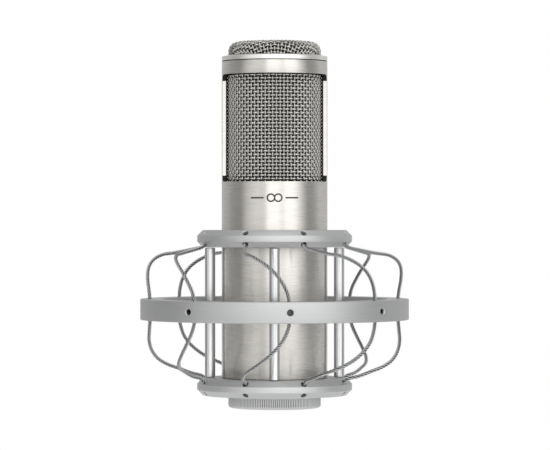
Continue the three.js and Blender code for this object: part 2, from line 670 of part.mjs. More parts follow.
const microphone = new THREE.Group();
mount.add(microphone);
add(microphone, 'body_tube', bodyTube(), NICKEL);
add(microphone, 'top_cap_ring', topCapRing(), NICKEL);
add(microphone, 'top_mesh', topMesh(), MESH);
const sleeve = (thick, r) => ring(r - thick, r, GRILLE_BOTTOM, GRILLE_TOP, SMALL_SIDES);
add(microphone, 'grille_mesh', sleeve(MESH_THICK, GRILLE_R), MESH);
add(microphone, 'inner_screen', sleeve(SCREEN_THICK, SCREEN_R), FINE_MESH);
add(microphone, 'deck_plate', deckPlate(), ALUMINIUM);
add(microphone, 'motor_frame', motorFrame(), DARK_STEEL);
add(microphone, 'magnet_left', magnet(-1), MAGNET);
add(microphone, 'magnet_right', magnet(1), MAGNET);
add(microphone, 'ribbon', ribbon(), FOIL);
const upperClampAt = POCKET_TOP - CLAMP_MARGIN - CLAMP_HEIGHT;
add(microphone, 'upper_ribbon_clamp', ribbonClamp(upperClampAt, UPPER_CLAMP_SCREW), BRASS);
add(microphone, 'lower_ribbon_clamp', ribbonClamp(POCKET_BOTTOM + CLAMP_MARGIN, LOWER_CLAMP_SCREW), BRASS);
add(microphone, 'upper_clamp_screw', clampScrew(UPPER_CLAMP_SCREW), DARK_STEEL);
add(microphone, 'lower_clamp_screw', clampScrew(LOWER_CLAMP_SCREW), DARK_STEEL);
add(microphone, 'transformer_core', transformerCore(), BRASS);
add(microphone, 'transformer_shield', transformerShield(), SHIELD_METAL);
add(microphone, 'connector_base', connectorBase(), ALUMINIUM);
add(microphone, 'xlr_insulator', xlrInsulator(), INSULATION);
PINS.forEach((pin, i) => add(microphone, `xlr_pin_${i + 1}`, xlrPin(pin), BRASS));
[['left', -1], ['right', 1]].forEach(([side, sign]) => {
  const chassisRod = rod(CHASSIS_ROD_R, PLUG_TOP + GAP, DECK_BOTTOM - GAP, 12);
  add(microphone, `chassis_rod_${side}`, chassisRod.translate(sign * CHASSIS_ROD_AT, 0, 0), POLISHED);
});
add(microphone, 'ribbon_lead_upper', ribbonLead(-1, UPPER_CLAMP_SCREW - 1), LEAD_RED);
add(microphone, 'ribbon_lead_lower', ribbonLead(1, LOWER_CLAMP_SCREW + 1), LEAD_BLUE);
add(microphone, 'output_lead_1', outputLead(-1), LEAD_RED);
add(microphone, 'output_lead_2', outputLead(1), LEAD_BLUE);

const cage = new THREE.Group();
mount.add(cage);
add(cage, 'upper_cage_ring', cageRing(UPPER_BORE, UPPER_RING_AT, true), ALUMINIUM);
add(cage, 'lower_cage_ring', cageRing(LOWER_BORE, 0, false), ALUMINIUM);
['front', 'right', 'back', 'left'].forEach((side, i) => {
  const cageRodGroup = new THREE.Group();
  cageRodGroup.rotation.z = radians(90 * i);
  cage.add(cageRodGroup);
  add(cageRodGroup, `cage_rod_${side}`, cageRod().translate(0, -CAGE_ROD_AT, 0), POLISHED);
});
add(cage, 'locking_collar', lockingCollar(), ALUMINIUM);
const collarWasher = ring(COLLAR_BORE, COLLAR_RECESS - GAP, -GAP - WASHER_THICK, -GAP, SMALL_SIDES);
add(cage, 'collar_washer', collarWasher, INSULATION);

const suspension = new THREE.Group();
mount.add(suspension);
onRopes((turn, k) => add(suspension, `suspension_rope_${k + 1}`, rope(turn), ROPE_STEEL));
add(suspension, 'outer_ring', outerRing(), ALUMINIUM);
onRopes((turn, k) => add(suspension, `ring_set_screw_${k + 1}`, ringSetScrew(turn), DARK_STEEL));
add(suspension, 'swivel_fork', swivelFork(), ALUMINIUM);
add(suspension, 'fork_screw_right', forkScrew(FORK_SCREWS[0]), DARK_STEEL);
add(suspension, 'fork_screw_left', forkScrew(FORK_SCREWS[1]), DARK_STEEL);

const stand = new THREE.Group();
group.add(stand);
add(stand, 'stand_adapter', standAdapter(), ALUMINIUM);
add(stand, 'thread_insert', ring(INSERT_BORE, INSERT_R, GAP, INSERT_TOP, 32), BRASS);
add(stand, 'hinge_screw', hingeScrew(), DARK_STEEL);
const knobWasher = onPin(ring(TILT_HOLE_R, KNOB_WASHER_R, EAR_OUT + GAP, KNOB_IN - GAP, 20));
add(stand, 'knob_washer', knobWasher, POLISHED);
add(stand, 'clamp_knob', clampKnob(), ALUMINIUM);

export default group;
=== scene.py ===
"""Looks for the ribbon microphone in its rope-hung shock mount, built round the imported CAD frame."""
import math

import bmesh
import bpy
import numpy as np
from mathutils import Matrix, Vector


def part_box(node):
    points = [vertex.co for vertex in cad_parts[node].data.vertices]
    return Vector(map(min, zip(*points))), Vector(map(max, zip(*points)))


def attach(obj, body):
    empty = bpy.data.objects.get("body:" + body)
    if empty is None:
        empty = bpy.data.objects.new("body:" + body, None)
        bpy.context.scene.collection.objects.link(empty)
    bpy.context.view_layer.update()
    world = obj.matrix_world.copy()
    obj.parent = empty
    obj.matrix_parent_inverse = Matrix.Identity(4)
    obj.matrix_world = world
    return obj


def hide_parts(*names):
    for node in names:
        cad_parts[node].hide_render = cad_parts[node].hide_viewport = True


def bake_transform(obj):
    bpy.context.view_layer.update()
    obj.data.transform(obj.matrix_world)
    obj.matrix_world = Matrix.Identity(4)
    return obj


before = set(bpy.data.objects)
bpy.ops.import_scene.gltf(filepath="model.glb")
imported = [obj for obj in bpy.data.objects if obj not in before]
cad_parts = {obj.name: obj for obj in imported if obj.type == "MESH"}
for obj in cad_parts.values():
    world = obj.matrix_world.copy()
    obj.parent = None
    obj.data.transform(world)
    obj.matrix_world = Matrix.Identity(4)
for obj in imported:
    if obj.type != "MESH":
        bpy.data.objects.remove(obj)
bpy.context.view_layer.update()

# ---- places and sizes, in millimetres from the mount's datum ------------------------------------
# The datum is on the microphone's axis, at the underside of the lower cage ring.

MM = 0.001
TUBE_LOW, TUBE_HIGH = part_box("body_tube")
AXIS_X = (TUBE_LOW.x + TUBE_HIGH.x) / 2
AXIS_Y = (TUBE_LOW.y + TUBE_HIGH.y) / 2
DATUM = Vector((AXIS_X, AXIS_Y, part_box("lower_cage_ring")[0].z))


def heights(node):
    """Lowest and highest point of a CAD node above the datum, in millimetres."""
    low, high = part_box(node)
    return (low.z - DATUM.z) / MM, (high.z - DATUM.z) / MM


def half_width(node):
    low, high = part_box(node)
    return (high.x - low.x) / 2 / MM


TUBE_R = half_width("body_tube")
TUBE_WALL = 1.8
TUBE_BOTTOM, TUBE_TOP = heights("body_tube")
CAP_TOP = heights("top_cap_ring")[1]
DOME_R = half_width("top_mesh")
DOME_TOP = heights("top_mesh")[1]
GRILLE_R = half_width("grille_mesh")
GRILLE_BOTTOM, GRILLE_TOP = heights("grille_mesh")
WINDOW_BOTTOM = 102.3
WINDOW_TOP = 153.6
WINDOW_CORNER = 3.0
PILLAR_HALF = 4.2
CAGE_R = half_width("upper_cage_ring")
CAGE_CHAMFER = 2.7
UPPER_RING = heights("upper_cage_ring")
LOWER_RING = heights("lower_cage_ring")
UPPER_BORE = 26.2
LOWER_BORE = 19.6
ROD_AT = 31.0
ROD_R = half_width("cage_rod_front")
RING_R = half_width("outer_ring")
RING_BORE = 54.1
RING = heights("outer_ring")
RING_MIDDLE = sum(RING) / 2
COLLAR_R = half_width("locking_collar")
COLLAR = heights("locking_collar")
COLLAR_BORE = 19.35
PIVOT = Vector((0.0, 0.0, (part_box("clamp_knob")[0].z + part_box("clamp_knob")[1].z) / 2))
TILT_TO_AXIS = (PIVOT.y - AXIS_Y) / MM

ROPE_COUNT = 8
ROPE_FIRST = 22.5
ROPE_SWIRL = 29.0
ROPE_AT = 60.0
ROPE_R = 0.92
ROPE_LAY = 6.6
# One rope's route: [distance from the axis, degrees past its cage end, height].
ROPE_ROUTE = [
    (34, 0, 74.2), (35.85, 0, 72.35), (38, 1, 70.9), (41.5, 2.8, 70), (46, 5.1, 69), (50.5, 7.6, 68.1),
    (54.9, 10.6, 67.4), (57.9, 14.4, 65.7), (59.9, 18.7, 63), (60.8, 22.5, 59.6), (60.9, 25.7, 55.2),
    (60.4, 28, 50.6), (ROPE_AT, ROPE_SWIRL, 46.2), (ROPE_AT, ROPE_SWIRL, 41.2), (ROPE_AT, ROPE_SWIRL, 36.2),
    (60.2, 27.7, 31.4), (60.3, 25, 26.4), (59.2, 20.6, 21.4), (56.7, 15, 17), (52.8, 9.8, 14),
    (48, 5.6, 11.9), (42.5, 2, 9.6), (38.4, 0.4, 8.6), (35.85, 0, 6.85), (34, 0, 5),
]

# ---- mesh making ---------------------------------------------------------------------------------


def new_piece(name, vertices, faces, matrix=None, smooth=35.0):
    """A mesh object from millimetre vertices, placed at the datum or by a matrix."""
    mesh = bpy.data.meshes.new(name)
    mesh.from_pydata([tuple(c * MM for c in v) for v in vertices], [], faces)
    return piece_from(name, mesh, matrix, smooth)


def piece_from(name, mesh, matrix=None, smooth=35.0):
    shape = bpy.data.objects.new(name, mesh)
    bpy.context.scene.collection.objects.link(shape)
    shape.matrix_world = matrix or Matrix.Translation(DATUM)
    shade(shape, smooth)
    return shape


def shade(shape, degrees):
    shape.data.shade_smooth()
    shape.data.set_sharp_from_angle(angle=math.radians(degrees))


def outward_faces(shape):
    mesh = bmesh.new()
    mesh.from_mesh(shape.data)
    bmesh.ops.remove_doubles(mesh, verts=mesh.verts, dist=1e-7)
    bmesh.ops.dissolve_degenerate(mesh, edges=mesh.edges, dist=1e-8)
    bmesh.ops.recalc_face_normals(mesh, faces=mesh.faces)
    mesh.to_mesh(shape.data)
    mesh.free()


def swept(name, vertices, rings, count, matrix=None, smooth=35.0, closed=True):
    """A solid through rings of count vertices each, which follow one another all the way round."""
    faces = []
    for i in range(rings):
        here, there = i * count, (i + 1) % rings * count
        for j in range(count if closed else count - 1):
            k = (j + 1) % count
            faces.append((here + j, there + j, there + k, here + k))
    shape = new_piece(name, vertices, faces, matrix, smooth)
    outward_faces(shape)
    shade(shape, smooth)
    return shape


def lathe(name, profile, sides=192, matrix=None, smooth=35.0):
    """Turns a profile of (radius, height) points that is closed, or starts and ends on the axis."""
    vertices = []
    for i in range(sides):
        angle = 2 * math.pi * i / sides
        vertices += [(r * math.sin(angle), -r * math.cos(angle), z) for r, z in profile]
    return swept(name, vertices, sides, len(profile), matrix, smooth, profile[0][0] > 0)


def arc(r, z, radius, start, end, steps=6):
    angles = [math.radians(start + (end - start) * i / steps) for i in range(steps + 1)]
    return [(r + radius * math.cos(a), z + radius * math.sin(a)) for a in angles]


def rounded(points, radius=0.3, steps=3):
    """A closed profile with each of its corners rounded off."""
    result = []
    count = len(points)
    for i, corner in enumerate(points):
        here = Vector(corner)
        before = (Vector(points[i - 1]) - here)
        after = (Vector(points[(i + 1) % count]) - here)
        reach = min(radius, before.length * 0.45, after.length * 0.45)
        start = here + before.normalized() * reach
        end = here + after.normalized() * reach
        for step in range(steps + 1):
            t = step / steps
            point = start * (1 - t) ** 2 + here * 2 * t * (1 - t) + end * t * t
            result.append((point.x, point.y))
    return result


def prism(name, outline, bottom, top, matrix=None):
    """Extrudes a closed (x, y) outline from bottom to top."""
    count = len(outline)
    vertices = [(x, y, z) for z in (bottom, top) for x, y in outline]
    faces = [tuple(reversed(range(count))), tuple(range(count, 2 * count))]
    faces += [(i, (i + 1) % count, count + (i + 1) % count, count + i) for i in range(count)]
    shape = new_piece(name, vertices, faces, matrix)
    outward_faces(shape)
    return shape


def disc(r, sides=32):
    angles = [2 * math.pi * i / sides for i in range(sides)]
    return [(r * math.cos(a), r * math.sin(a)) for a in angles]


def upright(azimuth, radius, height=0.0):
    """Places a shape round the microphone's axis, at an azimuth from the front, with its Z still up."""
    return (
        Matrix.Translation(DATUM)
        @ Matrix.Rotation(math.radians(azimuth), 4, "Z")
        @ Matrix.Translation(Vector((0, -radius, height)) * MM)
    )


def outward(azimuth, radius, height, elevation=0.0):
    """Places a shape made along +Z so that it points outward from the microphone's axis."""
    return upright(azimuth, radius, height) @ Matrix.Rotation(math.radians(90 - elevation), 4, "X")


def on_pin():
    """Places a shape made along +Z so that it lies along +X on the tilt pin."""
    return Matrix.Translation(PIVOT) @ Matrix.Rotation(math.pi / 2, 4, "Y")


def baked(shape):
    """Applies the shape's modifiers to its mesh."""
    view = bpy.context.evaluated_depsgraph_get()
    mesh = bpy.data.meshes.new_from_object(shape.evaluated_get(view))
    shape.modifiers.clear()
    shape.data = mesh
    return shape


def merge(name, shapes):
    """One mesh object at the datum out of several shapes, which are used up."""
    mesh = bmesh.new()
    into = Matrix.Translation(DATUM).inverted()
    bpy.context.view_layer.update()
    for shape in shapes:
        part = shape.data.copy()
        part.transform(into @ shape.matrix_world)
        mesh.from_mesh(part)
        bpy.data.meshes.remove(part)
        bpy.data.objects.remove(shape)
    data = bpy.data.meshes.new(name)
    mesh.to_mesh(data)
    mesh.free()
    return piece_from(name, data)


def boolean(shape, tools, operation="DIFFERENCE"):
    tool = merge("tool", tools)
    outward_faces(tool)
    bpy.context.view_layer.update()
    change = shape.modifiers.new("change", "BOOLEAN")
    change.operation = operation
    change.solver = "EXACT"
    change.use_self = True
    change.object = tool
    baked(shape)
    bpy.data.objects.remove(tool)
    return shape


def softened(shape, width, segments, angle=35.0):
    """Rounds the sharp edges a little, as real machined edges are."""
    soft = shape.modifiers.new("soft", "BEVEL")
    soft.width = width * MM
    soft.segments = segments
    soft.limit_method = "ANGLE"
    soft.angle_limit = math.radians(angle)
    baked(shape)
    shade(shape, angle)
    return shape


def wires(name, paths, radius, sides=6, closed=False):
    """Round wires along lists of millimetre points, in one mesh."""
    vertices = []
    faces = []
    for path in paths:
        points = np.asarray(path, float)
        if closed:
            tangents = np.roll(points, -1, 0) - np.roll(points, 1, 0)
        else:
            tangents = np.gradient(points, axis=0)
        tangents /= np.linalg.norm(tangents, axis=1)[:, None]
        side = np.cross(tangents, reference_normals(points, tangents))
        side /= np.linalg.norm(side, axis=1)[:, None]
        up = np.cross(side, tangents)
        base = len(vertices)
        count = len(points)
        for k in range(sides):
            angle = 2 * math.pi * k / sides
            rim = points + radius * (math.cos(angle) * side + math.sin(angle) * up)
            vertices += rim.tolist()
        loops = count if closed else count - 1
        for k in range(sides):
            a, b = base + k * count, base + (k + 1) % sides * count
            faces += [(a + i, a + (i + 1) % count, b + (i + 1) % count, b + i) for i in range(loops)]
        if not closed:
            faces.append(tuple(base + k * count for k in range(sides)))
            faces.append(tuple(base + k * count + count - 1 for k in reversed(range(sides))))
    shape = new_piece(name, vertices, faces, smooth=60.0)
    outward_faces(shape)
    shade(shape, 60.0)
    return shape


def reference_normals(points, tangents):
    """For each point a direction across the wire that turns no more than the wire does."""
    normal = np.array([0.0, 0.0, 1.0])
    if abs(tangents[0] @ normal) > 0.9:
        normal = points[0] * np.array([1.0, 1.0, 0.0]) + 1e-6
    normals = []
    for tangent in tangents:
        normal = normal - (normal @ tangent) * tangent
        normal = normal / np.linalg.norm(normal)
        normals.append(normal)
    return np.array(normals)


# ---- materials -----------------------------------------------------------------------------------


class Nodes:
    """Adds nodes to one node tree and feeds their inputs with sockets or plain values."""

    def __init__(self, tree):
        self.nodes = tree.nodes
        self.links = tree.links

    def feed(self, socket, value):
        if isinstance(value, bpy.types.NodeSocket):
            self.links.new(value, socket)
        else:
            socket.default_value = value

    def add(self, kind, inputs=None, **settings):
        node = self.nodes.new(kind)
        for key, value in settings.items():
            setattr(node, key, value)
        for key, value in (inputs or {}).items():
            self.feed(node.inputs[key], value)
        return node

    def compute(self, operation, *values):
        return self.add("ShaderNodeMath", dict(enumerate(values)), operation=operation).outputs[0]

    def multiplied(self, vector, factors):
        return self.add("ShaderNodeVectorMath", {0: vector, 1: factors}, operation="MULTIPLY").outputs[0]

    def parts(self, coordinates):
        """The X, Y and Z of one of the texture coordinates."""
        place = self.add("ShaderNodeTexCoord").outputs[coordinates]
        return self.add("ShaderNodeSeparateXYZ", {0: place}).outputs

    def noise(self, place, detail):
        noise = self.add("ShaderNodeTexNoise", {"Vector": place, "Scale": 1.0, "Detail": detail})
        return noise.outputs["Fac"]

    def ramp(self, value, stops):
        """A colour ramp through stops of (place from 0 to 1, colour)."""
        node = self.add("ShaderNodeValToRGB", {"Fac": value})
        elements = node.color_ramp.elements
        while len(elements) < len(stops):
            elements.new(0.5)
        for element, (place, colour) in zip(elements, stops):
            element.position = place
            element.color = (*colour, 1)
        return node.outputs["Color"]

    def ranged(self, value, low, high):
        span = self.add("ShaderNodeMapRange", {"Value": value, "To Min": low, "To Max": high})
        return span.outputs["Result"]


class Shader(Nodes):
    """The nodes of one new material."""

    def __init__(self, name):
        self.material = bpy.data.materials.new(name)
        self.material.use_nodes = True
        super().__init__(self.material.node_tree)
        self.main = self.nodes["Principled BSDF"]

    def stretched_noise(self, scale, detail):
        """Noise on object coordinates stretched by a scale for each axis."""
        return self.noise(self.multiplied(self.add("ShaderNodeTexCoord").outputs["Object"], scale), detail)

    def turned_noise(self, across, around=40.0):
        """Fine circles round the object's Z axis, as a lathe leaves on faces and sides alike."""
        x, y, z = self.parts("Object")
        flat = self.add("ShaderNodeCombineXYZ", {0: x, 1: y}).outputs[0]
        radius = self.add("ShaderNodeVectorMath", {0: flat}, operation="LENGTH").outputs["Value"]
        lines = self.add("ShaderNodeCombineXYZ", {0: radius, 2: z}).outputs[0]
        total = self.add("ShaderNodeVectorMath", {
            0: self.multiplied(lines, (across,) * 3), 1: self.multiplied(flat, (around,) * 3),
        }, operation="ADD")
        return self.noise(total.outputs[0], 3.0)

    def mixed(self, value, first, second):
        return self.ramp(value, [(0.3, first), (0.7, second)])

    def bumped(self, value, strength, distance):
        bump = self.add("ShaderNodeBump", {
            "Strength": strength, "Distance": distance * MM, "Height": value})
        self.feed(self.main.inputs["Normal"], bump.outputs["Normal"])

    def finish(self, colour, roughness, metallic=1.0):
        """Colour is a socket; roughness is a socket or a plain value."""
        self.feed(self.main.inputs["Base Color"], colour)
        self.feed(self.main.inputs["Roughness"], roughness)
        self.main.inputs["Metallic"].default_value = metallic
        return self.material


def brushed_nickel():
    """Warm nickel with fine brushing round the tube."""
    s = Shader("brushed_nickel")
    lines = s.stretched_noise((160.0, 160.0, 5200.0), 3.0)
    patches = s.stretched_noise((90.0, 90.0, 400.0), 2.0)
    tangent = s.add("ShaderNodeTangent", direction_type="RADIAL", axis="Z")
    s.feed(s.main.inputs["Tangent"], tangent.outputs[0])
    s.main.inputs["Anisotropic"].default_value = 0.9
    s.main.inputs["Anisotropic Rotation"].default_value = 0.25
    s.bumped(lines, 0.35, 0.012)
    tint = s.add("ShaderNodeMixRGB", {
        "Fac": 1.0,
        "Color1": s.mixed(patches, (0.64, 0.62, 0.585), (0.68, 0.66, 0.625)),
        "Color2": s.mixed(lines, (0.86, 0.86, 0.86), (1.06, 1.06, 1.06)),
    }, blend_type="MULTIPLY")
    return s.finish(tint.outputs[0], s.ranged(lines, 0.24, 0.34))


def satin_metal(name, tone, rough, tint=(0.992, 1.0)):
    """Satin metal with faint turning circles and a fine grain; tint is a factor on red and on blue."""
    s = Shader(name)
    red, blue = tint
    circles = s.turned_noise(2600.0)
    s.bumped(s.stretched_noise((5000.0,) * 3, 2.0), 0.12, 0.01)
    dark, light = tone * 0.96, tone * 1.05
    colour = s.mixed(circles, (dark * red, dark, dark * blue), (light * red, light, light * blue))
    return s.finish(colour, s.ranged(circles, rough - 0.04, rough + 0.05))


def grained(name, first, second, rough, scale, detail, bump, metallic=1.0):
    """A finish whose colour and roughness vary between two values by a noise, which is its bump too."""
    s = Shader(name)
    grain = s.stretched_noise(scale, detail)
    s.bumped(grain, *bump)
    return s.finish(s.mixed(grain, first, second), s.ranged(grain, *rough), metallic)


def coloured(name, colour, rough, metallic):
    """Plain pieces: one colour with a slight mottling."""
    dark = tuple(c * 0.8 for c in colour)
    span = (rough - 0.06, rough + 0.06)
    return grained(name, dark, colour, span, (700.0,) * 3, 3.0, (0.15, 0.03), metallic)


def fine_screen():
    """Blackened cloth of thin wires, whose weave is a bump and a dark and light pattern."""
    s = Shader("fine_screen")
    wires_round, pitch = 180.0, 0.7 * MM
    x, y, z = s.parts("Object")
    ripple = s.compute("SINE", s.compute("MULTIPLY", s.compute("ARCTAN2", y, x), wires_round))
    rows = s.compute("SINE", s.compute("MULTIPLY", z, 2 * math.pi / pitch))
    both = s.compute("MULTIPLY", ripple, rows)
    weave = s.add("ShaderNodeMapRange", {"Value": both, "From Min": -1.0}).outputs["Result"]
    s.bumped(weave, 0.6, 0.1)
    return s.finish(s.mixed(weave, (0.012, 0.012, 0.013), (0.045, 0.045, 0.047)), 0.6, 0.6)


NICKEL = brushed_nickel()
# Dark metal painted into the knurl grooves as painted shade.
KNURL_SHADE = satin_metal("knurl_groove_shade", 0.16, 0.5)
CAP = satin_metal("cap_nickel", 0.82, 0.34, (1.015, 0.965))
ALUMINIUM = satin_metal("satin_aluminium", 0.515, 0.50)
CAGE_ALUMINIUM = satin_metal("cage_aluminium", 0.575, 0.52)
COLLAR_ALUMINIUM = satin_metal("collar_aluminium", 0.61, 0.48)
ROD = grained("polished_rod", (0.56, 0.565, 0.57), (0.62, 0.625, 0.63), (0.16, 0.26),
              (1500.0, 1500.0, 60.0), 3.0, (0.08, 0.01))
ROPE = grained("rope_steel", (0.38, 0.385, 0.39), (0.58, 0.59, 0.595), (0.24, 0.36),
               (2200.0,) * 3, 3.0, (0.25, 0.03))
WIRE = grained("mesh_wire", (0.36, 0.353, 0.335), (0.54, 0.53, 0.505), (0.22, 0.34),
               (1200.0,) * 3, 2.0, (0.12, 0.02))
DARK = grained("black_oxide", (0.10, 0.10, 0.105), (0.17, 0.17, 0.175), (0.28, 0.42),
               (1800.0,) * 3, 2.0, (0.1, 0.02))
BRASS = grained("brass", (0.62, 0.46, 0.20), (0.74, 0.58, 0.29), (0.24, 0.38),
                (900.0,) * 3, 3.0, (0.1, 0.02))
PLASTIC = grained("black_plastic", (0.016, 0.016, 0.017), (0.026, 0.026, 0.027), (0.45, 0.6),
                  (3000.0,) * 3, 3.0, (0.2, 0.03), 0.0)
SCREEN = fine_screen()
# A near-black core, which shows between the strands as painted shade.
CORE_SHADE = coloured("rope_core_shade", (0.025, 0.025, 0.026), 0.5, 1.0)
SCREW_STEEL = coloured("screw_steel", (0.26, 0.26, 0.265), 0.28, 1.0)
BLACK_STEEL = coloured("black_steel", (0.08, 0.08, 0.082), 0.24, 1.0)
# Near-black paint, not a finish: painted shade inside the tube, under the cap and behind the pillars, and a
# painted dark reflection in the window corners.
PAINTED_SHADE = coloured("painted_shade_black", (0.004, 0.004, 0.004), 0.8, 0.0)
INK = coloured("mark_paint", (0.045, 0.042, 0.038), 0.45, 0.0)


def dress(shape, material, body, slot, *nodes):
    """Gives a piece its material and body, and hides the CAD nodes it stands for. The slot is not used."""
    shape.data.materials.clear()
    shape.data.materials.append(material)
    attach(shape, body)
    if nodes:
        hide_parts(*nodes)
    return shape


def painted(shape, material, chosen):
    """Gives a second material, which here paints shade, to the faces whose centre, as (radius, height,
    azimuth), is chosen.
    """
    shape.data.materials.append(material)
    for face in shape.data.polygons:
        x, y, z = face.center / MM
        if chosen(math.hypot(x, y), z, math.atan2(x, -y)):
            face.material_index = 1


# ---- camera, light and floor ---------------------------------------------------------------------

CAMERA_DISTANCE = 1.450
CAMERA_HEIGHT = 81.6 * MM
CAMERA_SIDE = 0.2 * MM
CAMERA_LENS = 197.5


def make_camera():
    camera = bpy.data.objects.new("camera", bpy.data.cameras.new("camera"))
    camera.data.lens = CAMERA_LENS
    camera.data.sensor_width = 36.0
    camera.data.clip_start = 0.05
    camera.location = DATUM + Vector((CAMERA_SIDE, -CAMERA_DISTANCE, CAMERA_HEIGHT))
    camera.rotation_euler = (math.pi / 2, 0, 0)
    bpy.context.scene.collection.objects.link(camera)
    bpy.context.scene.camera = camera


# Brightness of the studio round the object: (azimuth from the front towards +X in degrees, value).
STUDIO_ROUND = [
    (-180, 0.78), (-150, 0.58), (-124, 0.56), (-108, 0.42), (-80, 0.36), (-64, 0.85), (-44, 1.10),
    (-22, 1.05), (-14, 1.80), (9, 1.80), (14, 1.50), (20, 1.50), (27, 1.85), (46, 1.80), (62, 1.00),
    (78, 0.40), (96, 0.44), (118, 0.74), (150, 0.62), (180, 0.78),
]
# Factor on it by height of the direction (sine of the elevation).
STUDIO_RISE = [(-1.0, 0.25), (-0.6, 0.30), (-0.25, 0.75), (-0.1, 1.0), (0.2, 1.0), (0.5, 0.92),
               (0.8, 0.97), (1.0, 1.0)]


STUDIO_STRENGTH = 2.0


def make_world():
    """White to look at; to the object, soft boxes and dark gaps round a studio."""
    world = bpy.data.worlds.new("studio")
    world.use_nodes = True
    bpy.context.scene.world = world
    world.node_tree.nodes.clear()
    w = Nodes(world.node_tree)
    x, y, z = w.parts("Generated")
    turn = w.compute("ARCTAN2", x, w.compute("MULTIPLY", y, -1.0))
    round_share = w.add("ShaderNodeMapRange", {"Value": turn, "From Min": -math.pi, "From Max": math.pi})
    rise_share = w.add("ShaderNodeMapRange", {"Value": z, "From Min": -1.0})
    round_light = w.ramp(round_share.outputs["Result"], [
        ((place + 180) / 360, (value / STUDIO_STRENGTH,) * 3) for place, value in STUDIO_ROUND])
    rise_light = w.ramp(rise_share.outputs["Result"], [
        ((place + 1) / 2, (value,) * 3) for place, value in STUDIO_RISE])
    studio = w.add("ShaderNodeBackground", {
        "Color": w.multiplied(round_light, rise_light), "Strength": STUDIO_STRENGTH})
    white = w.add("ShaderNodeBackground", {"Color": (1, 1, 1, 1), "Strength": 1.0})
    to_camera = w.add("ShaderNodeLightPath").outputs["Is Camera Ray"]
    seen = w.add("ShaderNodeMixShader", {"Fac": to_camera, 1: studio.outputs[0], 2: white.outputs[0]})
    w.add("ShaderNodeOutputWorld", {"Surface": seen.outputs[0]})


FLOOR_DROP = 0.30
FLOOR_R = 0.95
FLOOR_SIDES = 120


def make_floor():
    """A plain pale floor, well below the object, which a stand would hold up."""
    rim = [(x, y, 0) for x, y in disc(FLOOR_R / MM, FLOOR_SIDES)]
    floor = new_piece("floor", rim, [tuple(range(FLOOR_SIDES))], Matrix.Translation((0, 0, -FLOOR_DROP)))
    s = Shader("floor")
    grain = s.stretched_noise((3.0, 3.0, 3.0), 2.0)
    s.main.inputs["Emission Color"].default_value = (1, 1, 1, 1)
    s.main.inputs["Emission Strength"].default_value = 0.2
    floor.data.materials.append(s.finish(s.mixed(grain, (0.80, 0.80, 0.80), (0.84, 0.84, 0.84)), 0.8, 0.0))


bpy.context.scene.view_settings.view_transform = "Standard"
make_camera()
make_world()
make_floor()

# ---- microphone ----------------------------------------------------------------------------------


def window_tool(side):
    """A cutter for one window: flat cheeks on the pillars, with round corners above and below."""
    far = TUBE_R * 2
    reach = PILLAR_HALF + WINDOW_CORNER
    outline = [(far, WINDOW_BOTTOM), (far, WINDOW_TOP)]
    outline += arc(reach, WINDOW_TOP - WINDOW_CORNER, WINDOW_CORNER, 90, 180, 10)
    outline += arc(reach, WINDOW_BOTTOM + WINDOW_CORNER, WINDOW_CORNER, 180, 270, 10)
    to_yz = Matrix(((0, 0, 1, 0), (side, 0, 0, 0), (0, 1, 0, 0), (0, 0, 0, 1)))
    return prism("window", outline, -far, far, Matrix.Translation(DATUM) @ to_yz)


def make_tube():
    inner = TUBE_R - TUBE_WALL
    profile = [(inner, TUBE_BOTTOM), (TUBE_R, TUBE_BOTTOM), (TUBE_R, TUBE_TOP), (inner, TUBE_TOP)]
    tube = lathe("body_tube_shell", profile, 240)
    boolean(tube, [window_tool(-1), window_tool(1)])
    softened(tube, 0.18, 2)
    dress(tube, NICKEL, "microphone", "nickel", "body_tube")
    # The tube's inside and the round window corners are painted near-black: painted shade and dark
    # reflection.
    painted(tube, PAINTED_SHADE, painted_shade_faces)


def painted_shade_faces(r, z, azimuth):
    """Whether a face of the tube is painted near-black: its inside as painted shade, and the round corners
    of a window as painted shade and dark reflection.
    """
    at_end = z < WINDOW_BOTTOM + WINDOW_CORNER - 0.1 or z > WINDOW_TOP - WINDOW_CORNER + 0.1
    in_window = WINDOW_BOTTOM - 0.1 < z < WINDOW_TOP + 0.1 and r < TUBE_R - 0.15
    return r < TUBE_R - TUBE_WALL + 0.1 or (in_window and at_end)


def make_cap_ring():
    low = heights("top_cap_ring")[0]
    bore = DOME_R + 0.3
    spigot = TUBE_R - TUBE_WALL - 0.3
    lip = 1.1
    seam = TUBE_TOP + 0.4
    inner = rounded([
        (bore, CAP_TOP), (bore, low + lip), (bore - lip, low + lip), (bore - lip, low), (spigot, low),
        (spigot, seam), (TUBE_R, seam),
    ], 0.12)[1:]
    edge = CAP_TOP - 0.6
    side = [(TUBE_R, edge - 0.45), (TUBE_R - 0.03, edge - 0.12), (TUBE_R - 0.12, edge),
            (TUBE_R - 0.3, edge + 0.05)]
    ring = dress(lathe("cap_ring", inner + side, 240), CAP, "microphone", "nickel", "top_cap_ring")
    # The cap ring's inside, below the seam, is painted near-black as painted shade.
    painted(ring, PAINTED_SHADE, lambda r, z, azimuth: r < TUBE_R - 0.3 and z < seam + 0.1)


WEAVE_ROUND = 78           # upright wires in the grille
WEAVE_RISE = 1.65          # between its level wires
DOME_PITCH = 1.8
DOME_CORNER = 3.8
DOME_CROWN = 0.7
DOME_HEM = 4.0             # how far the mesh top goes down past its bend
WIRE_R = 0.42
CRIMP = WIRE_R * 0.95      # how far a wire swings to each side of the weave's middle


